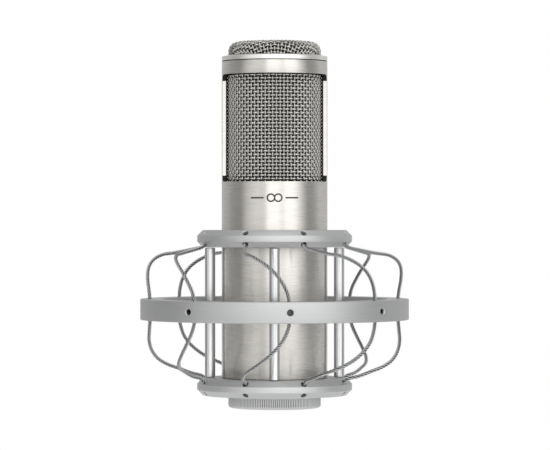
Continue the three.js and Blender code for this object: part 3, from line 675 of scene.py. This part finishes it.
def make_grille():
    """Plain weave of crimped wires round the cylinder: upright ones over and under level ones."""
    middle = GRILLE_R - 2 * WIRE_R
    rows = int((GRILLE_TOP - GRILLE_BOTTOM) / WEAVE_RISE)
    base = GRILLE_BOTTOM + 0.6
    steps = 4
    uprights = []
    for i in range(WEAVE_ROUND):
        angle = 2 * math.pi * (i + 0.5) / WEAVE_ROUND
        path = []
        for j in range(rows * steps + 1):
            r = middle + CRIMP * math.cos(math.pi * (j / steps - 0.5 + i))
            path.append((r * math.sin(angle), -r * math.cos(angle), base + WEAVE_RISE * j / steps))
        uprights.append(path)
    levels = []
    for row in range(rows):
        path = []
        for k in range(WEAVE_ROUND * steps):
            angle = 2 * math.pi * (k / steps + 0.5) / WEAVE_ROUND
            r = middle - CRIMP * math.cos(math.pi * (k / steps + row))
            path.append((r * math.sin(angle), -r * math.cos(angle), base + WEAVE_RISE * (row + 0.5)))
        levels.append(path)
    for name, paths, closed in (("upright", uprights, False), ("level", levels, True)):
        wire = wires(f"grille_{name}_wires", paths, WIRE_R, closed=closed)
        dress(wire, WIRE, "microphone", "woven_mesh", "grille_mesh")


def dome_point(reach, lift):
    """A point on the pressed mesh top, by the length of mesh from its middle: (radius, height)."""
    flat = DOME_R - WIRE_R * 2 - DOME_CORNER
    bend = DOME_CORNER * math.pi / 2
    top = DOME_TOP - 2 * WIRE_R
    if reach < flat:
        return reach, top - DOME_CROWN * (reach / flat) ** 2 + lift
    centre = top - DOME_CROWN - DOME_CORNER
    if reach < flat + bend:
        angle = (reach - flat) / DOME_CORNER
        grown = DOME_CORNER + lift
        return flat + grown * math.sin(angle), centre + grown * math.cos(angle)
    return flat + DOME_CORNER + lift, centre - (reach - flat - bend)


def make_dome():
    """A sheet of the same weave, pressed into a shallow cap."""
    limit = DOME_R - 4.5 + DOME_CORNER * math.pi / 2 + DOME_HEM
    count = int(limit / DOME_PITCH)
    steps = 5
    for name, turn in (("dome_wires_across", 0), ("dome_wires_along", 1)):
        paths = []
        for i in range(-count, count + 1):
            offset = i * DOME_PITCH
            half = math.sqrt(max(limit * limit - offset * offset, 0))
            ends = int(half / DOME_PITCH * steps)
            path = []
            for j in range(-ends, ends + 1):
                along = j * DOME_PITCH / steps
                x, y = (along, offset) if turn else (offset, along)
                reach = math.hypot(x, y)
                lift = CRIMP * math.cos(math.pi * (j / steps + i)) * (1 if turn else -1)
                r, z = dome_point(reach, lift)
                scale = r / max(reach, 1e-6)
                path.append((x * scale, y * scale, z))
            if len(path) > 4:
                paths.append(path)
        dress(wires(name, paths, WIRE_R), WIRE, "microphone", "woven_mesh", "top_mesh")


def make_screens():
    """The fine dark cloth behind the grille and under the dome."""
    outer = GRILLE_R - 4 * WIRE_R - 0.1
    skin = 0.4
    inner = outer - skin
    wall = lathe("fine_screen_wall", [
        (inner, GRILLE_BOTTOM), (outer, GRILLE_BOTTOM), (outer, GRILLE_TOP), (inner, GRILLE_TOP)])
    dress(wall, SCREEN, "microphone", "fine_mesh", "inner_screen")
    for name, side in (("left", -1), ("right", 1)):
        spread = math.degrees(math.asin(PILLAR_HALF / TUBE_R))
        angles = [math.radians(side * 90 - spread + 2 * spread * i / 12) for i in range(13)]
        outline = [(r * math.sin(a), -r * math.cos(a)) for r, line in
                   ((GRILLE_R + 0.15, angles), (TUBE_R - TUBE_WALL - 0.05, angles[::-1])) for a in line]
        # A near-black sheet between the grille and each pillar: painted shade in the gap, not a real part.
        shade_sheet = prism(f"pillar_shade_sheet_{name}", outline, WINDOW_BOTTOM - 1, WINDOW_TOP + 1)
        dress(shade_sheet, PAINTED_SHADE, "microphone", "fine_mesh")
    under = 1.3
    profile = [(r, z) for r, z in (dome_point(reach / 4, -under) for reach in range(0, 110))]
    inner = [(max(r - skin, 0), z - (skin if i < 70 else 0)) for i, (r, z) in enumerate(profile)]
    top = lathe("fine_screen_top", profile + inner[::-1])
    dress(top, SCREEN, "microphone", "fine_mesh")


MARK_HEIGHT = 94.5
MARK_LINE = (5.2, 11.6)    # where a side line starts and ends


def on_tube(x, z, proud):
    """A point on the front of the tube or a little proud of it, x millimetres round it."""
    angle = x / TUBE_R
    return (TUBE_R + proud) * math.sin(angle), -(TUBE_R + proud) * math.cos(angle), z


def raised_band(name, inside, outside, closed):
    """A thin inlay between two lines of (x, z) drawn on the tube, standing 0.03 mm proud."""
    proud = 0.03
    edges = ((inside, 0.0), (outside, 0.0), (outside, proud), (inside, proud))
    vertices = [on_tube(x, z, grow) for line, grow in edges for x, z in line]
    count = len(inside)
    faces = []
    for i in range(count if closed else count - 1):
        k = (i + 1) % count
        for a in range(4):
            b = (a + 1) % 4
            faces.append((a * count + i, a * count + k, b * count + k, b * count + i))
    if not closed:
        faces.append(tuple(a * count for a in range(4)))
        faces.append(tuple(a * count + count - 1 for a in reversed(range(4))))
    shape = new_piece(name, vertices, faces)
    outward_faces(shape)
    return dress(shape, INK, "microphone", "fine_mesh")


def make_mark():
    """A plain figure-of-eight pickup symbol with a line to each side."""
    radius, width = 2.1, 0.75
    for name, side in (("left", -1), ("right", 1)):
        circle = [2 * math.pi * i / 40 for i in range(40)]
        centre = side * (radius - width / 2)
        inner, outer = (
            [(centre + r * math.cos(a), MARK_HEIGHT + r * math.sin(a)) for a in circle]
            for r in (radius - width, radius))
        raised_band(f"mark_lobe_{name}", inner, outer, True)
        start, end = side * MARK_LINE[0], side * MARK_LINE[1]
        xs = [start + (end - start) * i / 12 for i in range(13)]
        low = [(x, MARK_HEIGHT - width / 2) for x in xs]
        high = [(x, MARK_HEIGHT + width / 2) for x in xs]
        raised_band(f"mark_line_{name}", low, high, False)


PINS = [(-3.9, 0), (3.9, 0), (0, 3.9)]
PIN_R = 1.2
PIN_HOLE_R = 1.55
INSULATOR_R = 9.9
SOCKET_SEAT = 9.0


def make_base():
    """The plug, stub and three-pin socket under the tube."""
    low, high = heights("connector_base")
    stub, flange, socket, seat = 19.0, half_width("connector_base"), 8.1, 10.2
    profile = rounded([
        (socket, low), (stub, low), (stub, TUBE_BOTTOM), (flange, TUBE_BOTTOM), (flange, high),
        (seat, high), (seat, SOCKET_SEAT), (socket, SOCKET_SEAT),
    ], 0.25)
    base = lathe("connector_base_turned", profile, 128)
    dress(base, ALUMINIUM, "microphone", "satin_aluminium", "connector_base")
    bottom, top = heights("xlr_insulator")
    section = rounded([(0.01, bottom), (INSULATOR_R, bottom), (INSULATOR_R, top), (0.01, top)], 0.2)
    disk = lathe("socket_insulator", section, 96)
    places = [Matrix.Translation(DATUM + Vector((x, y, 0)) * MM) for x, y in PINS]
    hole = [(0, bottom - 1), (PIN_HOLE_R, bottom - 1), (PIN_HOLE_R, top + 1), (0, top + 1)]
    holes = [lathe("hole", hole, 24, place) for place in places]
    dress(boolean(disk, holes), PLASTIC, "microphone", "black_plastic", "xlr_insulator")
    for i, place in enumerate(places):
        tip, end = heights(f"xlr_pin_{i + 1}")
        profile = [(0, tip), *arc(0, tip + PIN_R, PIN_R, -70, 0, 6), (PIN_R, end), (0, end)]
        pin = lathe(f"socket_pin_{i + 1}", profile, 32, place)
        dress(pin, BRASS, "microphone", "brass", f"xlr_pin_{i + 1}")


make_tube()
make_cap_ring()
make_grille()
make_dome()
make_screens()
make_mark()
make_base()

# ---- cage ----------------------------------------------------------------------------------------

SCREW_HOLE_R = 1.35
SCREW_SINK_R = 1.6         # the countersink at a hole's mouth
SCREW_R = 1.27
SCREW_SUNK = 1.25          # a set screw's outer end below the chamfer
ROD_SINK_R = 2.6           # counterbore for the screw into a rod
ROD_SINK = 2.4


def hex_outline(across):
    return disc(across / math.sqrt(3), 6)


def screw_mesh(name, profile, across, bottom, top):
    """The mesh of a turned screw with a hexagon socket cut in its end."""
    matrix = Matrix.Identity(4)
    body = lathe(name, profile, 48, matrix)
    boolean(body, [prism("hexagon", hex_outline(across), bottom, top, matrix)])
    mesh = body.data
    bpy.data.objects.remove(body)
    return mesh


def socket_screw_mesh(name, r, length, across, depth, cone=0.25):
    """A headless screw, its outer end at z 0."""
    profile = [(0, -length), (r - cone, -length), (r, cone - length), (r, -cone), (r - cone, 0), (0, 0)]
    return screw_mesh(name, profile, across, -depth, 1)


def cap_screw_mesh(name, r, height, across):
    """A round screw head, standing on z 0."""
    profile = [(0, 0), (r, 0), (r, height - 0.4), *arc(r - 0.4, height - 0.4, 0.4, 0, 90, 4), (0, height)]
    return screw_mesh(name, profile, across, height * 0.35, height + 1)


def copies(mesh, prefix, matrices, material, body, slot, nodes=()):
    for i, matrix in enumerate(matrices):
        shape = piece_from(f"{prefix}_{i + 1}", mesh.copy(), matrix, 35.0)
        dress(shape, material, body, slot, *([nodes[i]] if nodes else []))


def make_cage_ring(name, bore, span, rope_below):
    """A bevelled ring with a hole through each chamfer at every rope, and screws over the rods."""
    low, high = span
    profile = rounded([
        (bore, low), (CAGE_R - CAGE_CHAMFER, low), (CAGE_R, low + CAGE_CHAMFER),
        (CAGE_R, high - CAGE_CHAMFER), (CAGE_R - CAGE_CHAMFER, high), (bore, high),
    ], 0.14)
    ring = lathe(f"{name}_turned", profile, 256)
    mouth = CAGE_R - CAGE_CHAMFER / 2
    tools = []
    screws = []
    for k in range(ROPE_COUNT):
        azimuth = ROPE_FIRST + 360 / ROPE_COUNT * k
        for below in (True, False):
            height = low + CAGE_CHAMFER / 2 if below else high - CAGE_CHAMFER / 2
            place = outward(azimuth, mouth, height, -45 if below else 45)
            depth = 5 if below == rope_below else 3.9
            tools.append(lathe("hole", [
                (0, -depth), (SCREW_HOLE_R, -depth), (SCREW_HOLE_R, -0.2), (SCREW_SINK_R, 0.05),
                (SCREW_SINK_R, 3), (0, 3),
            ], 32, place))
            if below != rope_below:
                screws.append(place @ Matrix.Translation((0, 0, -SCREW_SUNK * MM)))
    out = -1 if span is LOWER_RING else 1
    face = low if out < 0 else high
    rods = []
    for k in range(4):
        spot = upright(90 * k, ROD_AT, face) @ Matrix.Rotation(0 if out > 0 else math.pi, 4, "X")
        tools.append(prism("sink", disc(ROD_SINK_R), -ROD_SINK, 1, spot))
        rods.append(spot @ Matrix.Translation((0, 0, (0.1 - ROD_SINK) * MM)))
    boolean(ring, tools)
    softened(ring, 0.1, 1, 28)
    dress(ring, CAGE_ALUMINIUM, "cage", "satin_aluminium", name)
    copies(SET_SCREW, f"{name}_set_screw", screws, SCREW_STEEL, "cage", "dark_steel")
    copies(ROD_SCREW, f"{name}_rod_screw", rods, SCREW_STEEL, "cage", "dark_steel")


SET_SCREW = socket_screw_mesh("set_screw", SCREW_R, 2.4, 1.6, 1.4)
ROD_SCREW = cap_screw_mesh("rod_screw", 2.4, 2.0, 2.4)


def make_rods():
    low, high = heights("cage_rod_front")
    edge = 0.3
    profile = [(0, low), (ROD_R - edge, low), (ROD_R, low + edge), (ROD_R, high - edge),
               (ROD_R - edge, high), (0, high)]
    for k, side in enumerate(("front", "right", "back", "left")):
        rod = lathe(f"rod_{side}", profile, 64, upright(90 * k, ROD_AT))
        dress(rod, ROD, "cage", "polished_rod", f"cage_rod_{side}")


make_cage_ring("upper_cage_ring", UPPER_BORE, UPPER_RING, True)
make_cage_ring("lower_cage_ring", LOWER_BORE, LOWER_RING, False)
make_rods()

# ---- outer ring and ropes ------------------------------------------------------------------------

FORK_SPREAD = 13.5
FORK_HOLE_R = 1.85
RING_ROPE_HOLE_R = 1.25
RING_SCREW_HOLE_R = 1.4
RING_SINK_R = 1.8
RING_SCREW_SUNK = 1.1
# A countersunk hole's section: (radius, height above the surface).
RING_SCREW_HOLE = [
    (0, ROPE_AT - RING_R), (RING_SCREW_HOLE_R, ROPE_AT - RING_R), (RING_SCREW_HOLE_R, -0.35),
    (RING_SINK_R, 0.05), (RING_SINK_R, 1), (0, 1)]


def make_outer_ring():
    low, high = RING
    ring = lathe("outer_ring_turned", rounded([
        (RING_BORE, low), (RING_R, low), (RING_R, high), (RING_BORE, high)], 0.5), 320)
    tools = []
    screws = []
    for k in range(ROPE_COUNT):
        azimuth = ROPE_FIRST + ROPE_SWIRL + 360 / ROPE_COUNT * k
        place = upright(azimuth, ROPE_AT, RING_MIDDLE)
        tools.append(prism("rope_hole", disc(RING_ROPE_HOLE_R), -10, 10, place))
        tools.append(lathe("screw_hole", RING_SCREW_HOLE, 40, outward(azimuth, RING_R, RING_MIDDLE)))
        screws.append(outward(azimuth, RING_R - RING_SCREW_SUNK, RING_MIDDLE))
    for side in (-1, 1):
        place = outward(180 + side * FORK_SPREAD, RING_R, RING_MIDDLE)
        tools.append(prism("fork_hole", disc(FORK_HOLE_R), -5, 5, place))
    boolean(ring, tools)
    softened(ring, 0.12, 1, 28)
    dress(ring, ALUMINIUM, "suspension_ring", "satin_aluminium", "outer_ring")
    nodes = [f"ring_set_screw_{k + 1}" for k in range(ROPE_COUNT)]
    copies(RING_SCREW, "ring_screw", screws, BLACK_STEEL, "suspension_ring", "dark_steel", nodes)


RING_SCREW = socket_screw_mesh("ring_screw", 1.3, 2.4, 1.5, 1.4)


def rope_line(turn):
    """Evenly spaced points along one rope, by centripetal Catmull-Rom through its route."""
    points = []
    for r, past, z in ROPE_ROUTE:
        angle = math.radians(ROPE_FIRST + turn + past)
        points.append(np.array([r * math.sin(angle), -r * math.cos(angle), z]))
    points = [2 * points[0] - points[1], *points, 2 * points[-1] - points[-2]]
    line = []
    def between(s, t0, t1, first, second):
        return (t1 - s) / (t1 - t0) * first + (s - t0) / (t1 - t0) * second

    for i in range(1, len(points) - 2):
        p = points[i - 1:i + 3]
        t = [0.0]
        for a, b in zip(p, p[1:]):
            t.append(t[-1] + max(np.linalg.norm(b - a), 1e-6) ** 0.5)
        for s in np.linspace(t[1], t[2], 24, endpoint=False):
            a1, a2, a3 = (between(s, t[k], t[k + 1], p[k], p[k + 1]) for k in range(3))
            b1 = between(s, t[0], t[2], a1, a2)
            b2 = between(s, t[1], t[3], a2, a3)
            line.append(between(s, t[1], t[2], b1, b2))
    line.append(points[-2])
    line = np.array(line)
    length = np.concatenate([[0], np.cumsum(np.linalg.norm(np.diff(line, axis=0), axis=1))])
    even = np.arange(0, length[-1], 0.42)
    return np.stack([np.interp(even, length, line[:, k]) for k in range(3)], 1), even


STRANDS = 4
STRAND_R = 0.26
CORE_R = 0.54


def make_ropes():
    """Strands laid round a core; each rope is in two halves that meet inside the outer ring."""
    for k in range(ROPE_COUNT):
        line, along = rope_line(360 / ROPE_COUNT * k)
        tangents = np.gradient(line, axis=0)
        tangents /= np.linalg.norm(tangents, axis=1)[:, None]
        normals = reference_normals(line, tangents)
        across = np.cross(tangents, normals)
        middle = int(np.argmin(np.abs(line[:, 2] - RING_MIDDLE)))
        for half, part in (("upper", slice(0, middle + 1)), ("lower", slice(middle, len(line)))):
            paths = []
            for i in range(STRANDS):
                turn = 2 * math.pi * (along / ROPE_LAY + i / STRANDS)
                offset = np.cos(turn)[:, None] * normals + np.sin(turn)[:, None] * across
                paths.append((line + (ROPE_R - STRAND_R) * offset)[part])
            # The core is near-black so that the grooves between the strands show painted shade.
            core = wires(f"rope_core_shade_{k + 1}_{half}", [line[part]], CORE_R, 6)
            rope = wires(f"rope_{k + 1}_{half}", paths, STRAND_R, 8)
            for shape, material in ((core, CORE_SHADE), (rope, ROPE)):
                shape.data.materials.append(material)
                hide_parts(f"suspension_rope_{k + 1}")
                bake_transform(shape)


make_outer_ring()
make_ropes()

# ---- locking collar ------------------------------------------------------------------------------

KNURLS = 155
KNURL_DEPTH = 0.32
COLLAR_RECESS_R = 21.2     # the washer lies in this recess


def make_collar():
    """A turned collar with upright ribs pressed into its side."""
    low, high = COLLAR
    steps = 6
    total = KNURLS * steps
    ribs_low, ribs_high = low + 1.25, high - 0.75
    recess = 1.5
    bottom = arc(COLLAR_R - 1.5, low + 1.5, 1.5, -90, -15, 6)
    profile = [
        (COLLAR_BORE, low + 0.3), (COLLAR_BORE + 0.3, low), *bottom,
        (COLLAR_R, ribs_low), (COLLAR_R, ribs_high), (COLLAR_R - 0.12, high - 0.4), (COLLAR_R - 0.35, high),
        (COLLAR_RECESS_R, high), (COLLAR_RECESS_R, high - recess), (COLLAR_BORE, high - recess),
    ]
    ribbed = {len(bottom) + 1, len(bottom) + 2, len(bottom) + 3}
    vertices = []
    for i in range(total):
        angle = 2 * math.pi * i / total
        groove = KNURL_DEPTH * (1 - abs(math.cos(math.pi * i / steps)))
        for j, (r, z) in enumerate(profile):
            cut = groove if j in ribbed else 0
            vertices.append(((r - cut) * math.sin(angle), -(r - cut) * math.cos(angle), z))
    collar = swept("knurled_collar", vertices, total, len(profile), smooth=28)
    dress(collar, COLLAR_ALUMINIUM, "collar", "satin_aluminium", "locking_collar")
    # The bottoms of the knurl grooves are painted dark: painted shade.
    painted(collar, KNURL_SHADE, lambda r, z, azimuth: ribs_low < z < ribs_high and r > 21.5
            and abs(azimuth * KNURLS / (2 * math.pi) % 1 - 0.5) < 0.18)
    bottom_z, top_z = heights("collar_washer")
    washer = lathe("collar_slip_washer", rounded([
        (COLLAR_BORE, bottom_z), (20.9, bottom_z), (20.9, top_z), (COLLAR_BORE, top_z)], 0.15), 96)
    dress(washer, PLASTIC, "collar_carrier", "black_plastic", "collar_washer")


make_collar()

# ---- fork, stand adapter and knob ----------------------------------------------------------------

EAR_R = 7.5
EYE_R = 8.0
EAR_IN, EAR_OUT = 8.5, 12.5
EYE_HALF = 8.0
STEM_HALF = 5.0
TILT_HOLE = disc(3.25)      # through the ears, the eye and the knob
PIN_SHAFT_R = 2.85
HEAD_R = 5.5
WASHER_R = 6.5
SADDLE_R = 69.5
SADDLE_SPREAD = 17.5


def along_x(outline, x0, x1, name):
    """Extrudes a (y, z) outline, measured from the tilt pin, along X."""
    to_yz = Matrix(((0, 0, 1, 0), (1, 0, 0, 0), (0, 1, 0, 0), (0, 0, 0, 1)))
    return prism(name, outline, x0, x1, Matrix.Translation(PIVOT) @ to_yz)


def make_fork():
    """A saddle on the back of the outer ring, with two ears that hold the tilt pin."""
    angles = [math.radians(90 + SADDLE_SPREAD * (i / 12 - 1)) for i in range(25)]
    outline = [(SADDLE_R * math.cos(a), SADDLE_R * math.sin(a)) for a in angles]
    outline += [((RING_R + 0.3) * math.cos(a), (RING_R + 0.3) * math.sin(a)) for a in reversed(angles)]
    body = prism("fork", outline, RING[0], RING[1])
    back = RING_R + 2 - TILT_TO_AXIS
    half = (RING[1] - RING[0]) / 2
    ear = [(back, -half), *arc(0, 0, EAR_R, -90, 90, 24), (back, half)]
    ears = [along_x(ear, EAR_IN, EAR_OUT, "ear_right"), along_x(ear, -EAR_OUT, -EAR_IN, "ear_left")]
    boolean(body, ears, "UNION")
    tools = [prism("pin_hole", TILT_HOLE, -20, 20, on_pin())]
    for side in (-1, 1):
        place = outward(180 + side * FORK_SPREAD, RING_R, RING_MIDDLE)
        tools.append(prism("screw_hole", disc(FORK_HOLE_R), -1, 9, place))
    place = outward(ROPE_FIRST + ROPE_SWIRL + 135, RING_R, RING_MIDDLE)
    tools.append(prism("key_hole", disc(2.0), -1, 6, place))
    boolean(body, tools)
    softened(body, 0.35, 2, 40)
    dress(body, ALUMINIUM, "suspension_ring", "satin_aluminium", "swivel_fork")
    spots = [outward(180 + side * FORK_SPREAD, 69.8, RING_MIDDLE) for side in (-1, 1)]
    copies(FORK_SCREW, "fork_screw", spots, DARK, "suspension_ring", "dark_steel",
           ["fork_screw_right", "fork_screw_left"])


FORK_SCREW = cap_screw_mesh("fork_screw", 2.6, 2.5, 2.2)


def make_adapter():
    """The stand adapter: a turned socket with an eye for the tilt pin."""
    low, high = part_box("stand_adapter")[0].z / MM, 21.0
    r = half_width("stand_adapter")
    bore, inner = 10.5, 7.6
    at_origin = Matrix.Identity(4)
    profile = [
        (0, low + 17), (inner, low + 17), (inner, low + 14.3), (bore, low + 14.3), (bore, low + 0.3),
        (bore + 0.3, low), (r - 0.5, low), (r, low + 0.5),
        (r, 6.0), (r - 0.5, 6.4), (r - 0.5, 7.0), (r, 7.4), (r, high - 2), (r - 2, high), (0, high),
    ]
    body = lathe("stand_adapter_body", profile, 128, at_origin)
    meet = math.degrees(math.asin(STEM_HALF / EYE_R))
    reach = high - 1 - PIVOT.z / MM
    eye = [(-STEM_HALF, reach), (STEM_HALF, reach), *arc(0, 0, EYE_R, meet - 90, 270 - meet, 40)]
    boolean(body, [along_x(eye, -EYE_HALF, EYE_HALF, "eye")], "UNION")
    boolean(body, [prism("pin_hole", TILT_HOLE, -EYE_HALF - 1, EYE_HALF + 1, on_pin())])
    softened(body, 0.3, 2, 40)
    dress(body, ALUMINIUM, "stand", "satin_aluminium", "stand_adapter")


def make_insert():
    """A brass insert with a cut thread: ridges run round and down inside it."""
    low, high = (c.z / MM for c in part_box("thread_insert"))
    pitch, root, crest, outer = 0.94, 7.95, 7.6, 10.2
    steps = 48
    turns = int((high - low) / pitch) - 1
    inside = []
    for j in range(turns * 4 + 1):
        inside.append(((root, crest)[j % 4 in (1, 2)], low + 0.5 + j * pitch / 4))
    profile = [(outer, high), (outer, low), (root + 0.5, low), *inside, (root, high)]
    first, last = 3, 3 + len(inside)
    vertices = []
    for i in range(steps):
        angle = 2 * math.pi * i / steps
        slope = pitch * (i / steps)
        for j, (r, z) in enumerate(profile):
            shift = slope if first <= j < last - 4 else 0
            vertices.append((r * math.cos(angle), r * math.sin(angle), min(z + shift, high - 0.05)
                             if first <= j < last else z))
    insert = swept("threaded_insert", vertices, steps, len(profile), Matrix.Identity(4), 30)
    dress(insert, BRASS, "stand", "brass", "thread_insert")


def make_pin_pieces():
    seat = -EAR_OUT - 0.3
    head, end = (c.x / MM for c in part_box("hinge_screw"))
    profile = [
        (0, head), (HEAD_R - 0.4, head), (HEAD_R, head + 0.4), (HEAD_R, seat), (PIN_SHAFT_R, seat),
        (PIN_SHAFT_R, end - 0.5), (2.4, end), (0, end),
    ]
    screw = lathe("tilt_screw", profile, 64, on_pin())
    boolean(screw, [prism("hexagon", hex_outline(4.0), head - 1, head + 2.4, on_pin())])
    shade(screw, 35)
    dress(screw, DARK, "stand", "dark_steel", "hinge_screw")
    low, high = (c.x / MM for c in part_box("knob_washer"))
    section = rounded([(3.3, low), (WASHER_R, low), (WASHER_R, high), (3.3, high)], 0.2)
    washer = lathe("tilt_washer", section, 64, on_pin())
    dress(washer, ROD, "knob_carrier", "polished_rod", "knob_washer")


def make_knob():
    """A lobed clamp knob with rounded ends and a dished outer face."""
    low, high = (c.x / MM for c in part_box("clamp_knob"))
    lobes, r, depth = 6, 7.2, 0.8
    outline = []
    for i in range(lobes * 16):
        angle = 2 * math.pi * i / (lobes * 16)
        reach = r + depth * math.cos(lobes * angle)
        outline.append((reach * math.cos(angle), reach * math.sin(angle)))
    knob = prism("knob_body", outline, low, high, on_pin())
    dish = lathe("dish", [(0, high - 0.8), (3.6, high - 0.8), (4.6, high + 1), (0, high + 1)], 64, on_pin())
    bore = prism("bore", TILT_HOLE, low - 1, high - 1.6, on_pin())
    boolean(knob, [dish, bore])
    softened(knob, 0.5, 3, 40)
    dress(knob, ALUMINIUM, "knob", "satin_aluminium", "clamp_knob")


make_fork()
make_adapter()
make_insert()
make_pin_pieces()
make_knob()

# ---- inner pieces that stay as the CAD made them -------------------------------------------------

PLATE = (0.34, 0.35, 0.36)
INNER = {
    "deck_plate": ALUMINIUM,
    "motor_frame": DARK,
    "magnet_left": coloured("magnet_plate", PLATE, 0.35, 1.0),
    "magnet_right": coloured("magnet_plate_right", PLATE, 0.35, 1.0),
    "ribbon": coloured("ribbon_foil", (0.85, 0.86, 0.87), 0.28, 1.0),
    "upper_ribbon_clamp": BRASS,
    "lower_ribbon_clamp": BRASS,
    "upper_clamp_screw": DARK,
    "lower_clamp_screw": DARK,
    "transformer_core": coloured("winding_tape", (0.50, 0.34, 0.12), 0.5, 0.0),
    "transformer_shield": coloured("shield_metal", (0.50, 0.49, 0.46), 0.4, 1.0),
    "chassis_rod_left": ROD,
    "chassis_rod_right": ROD,
    "ribbon_lead_upper": coloured("red_lead", (0.35, 0.02, 0.015), 0.4, 0.0),
    "ribbon_lead_lower": coloured("blue_lead", (0.02, 0.06, 0.30), 0.4, 0.0),
    "output_lead_1": coloured("white_lead", (0.60, 0.58, 0.52), 0.4, 0.0),
    "output_lead_2": coloured("black_lead", (0.02, 0.02, 0.02), 0.4, 0.0),
}
for node, material in INNER.items():
    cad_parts[node].data.materials.clear()
    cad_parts[node].data.materials.append(material)
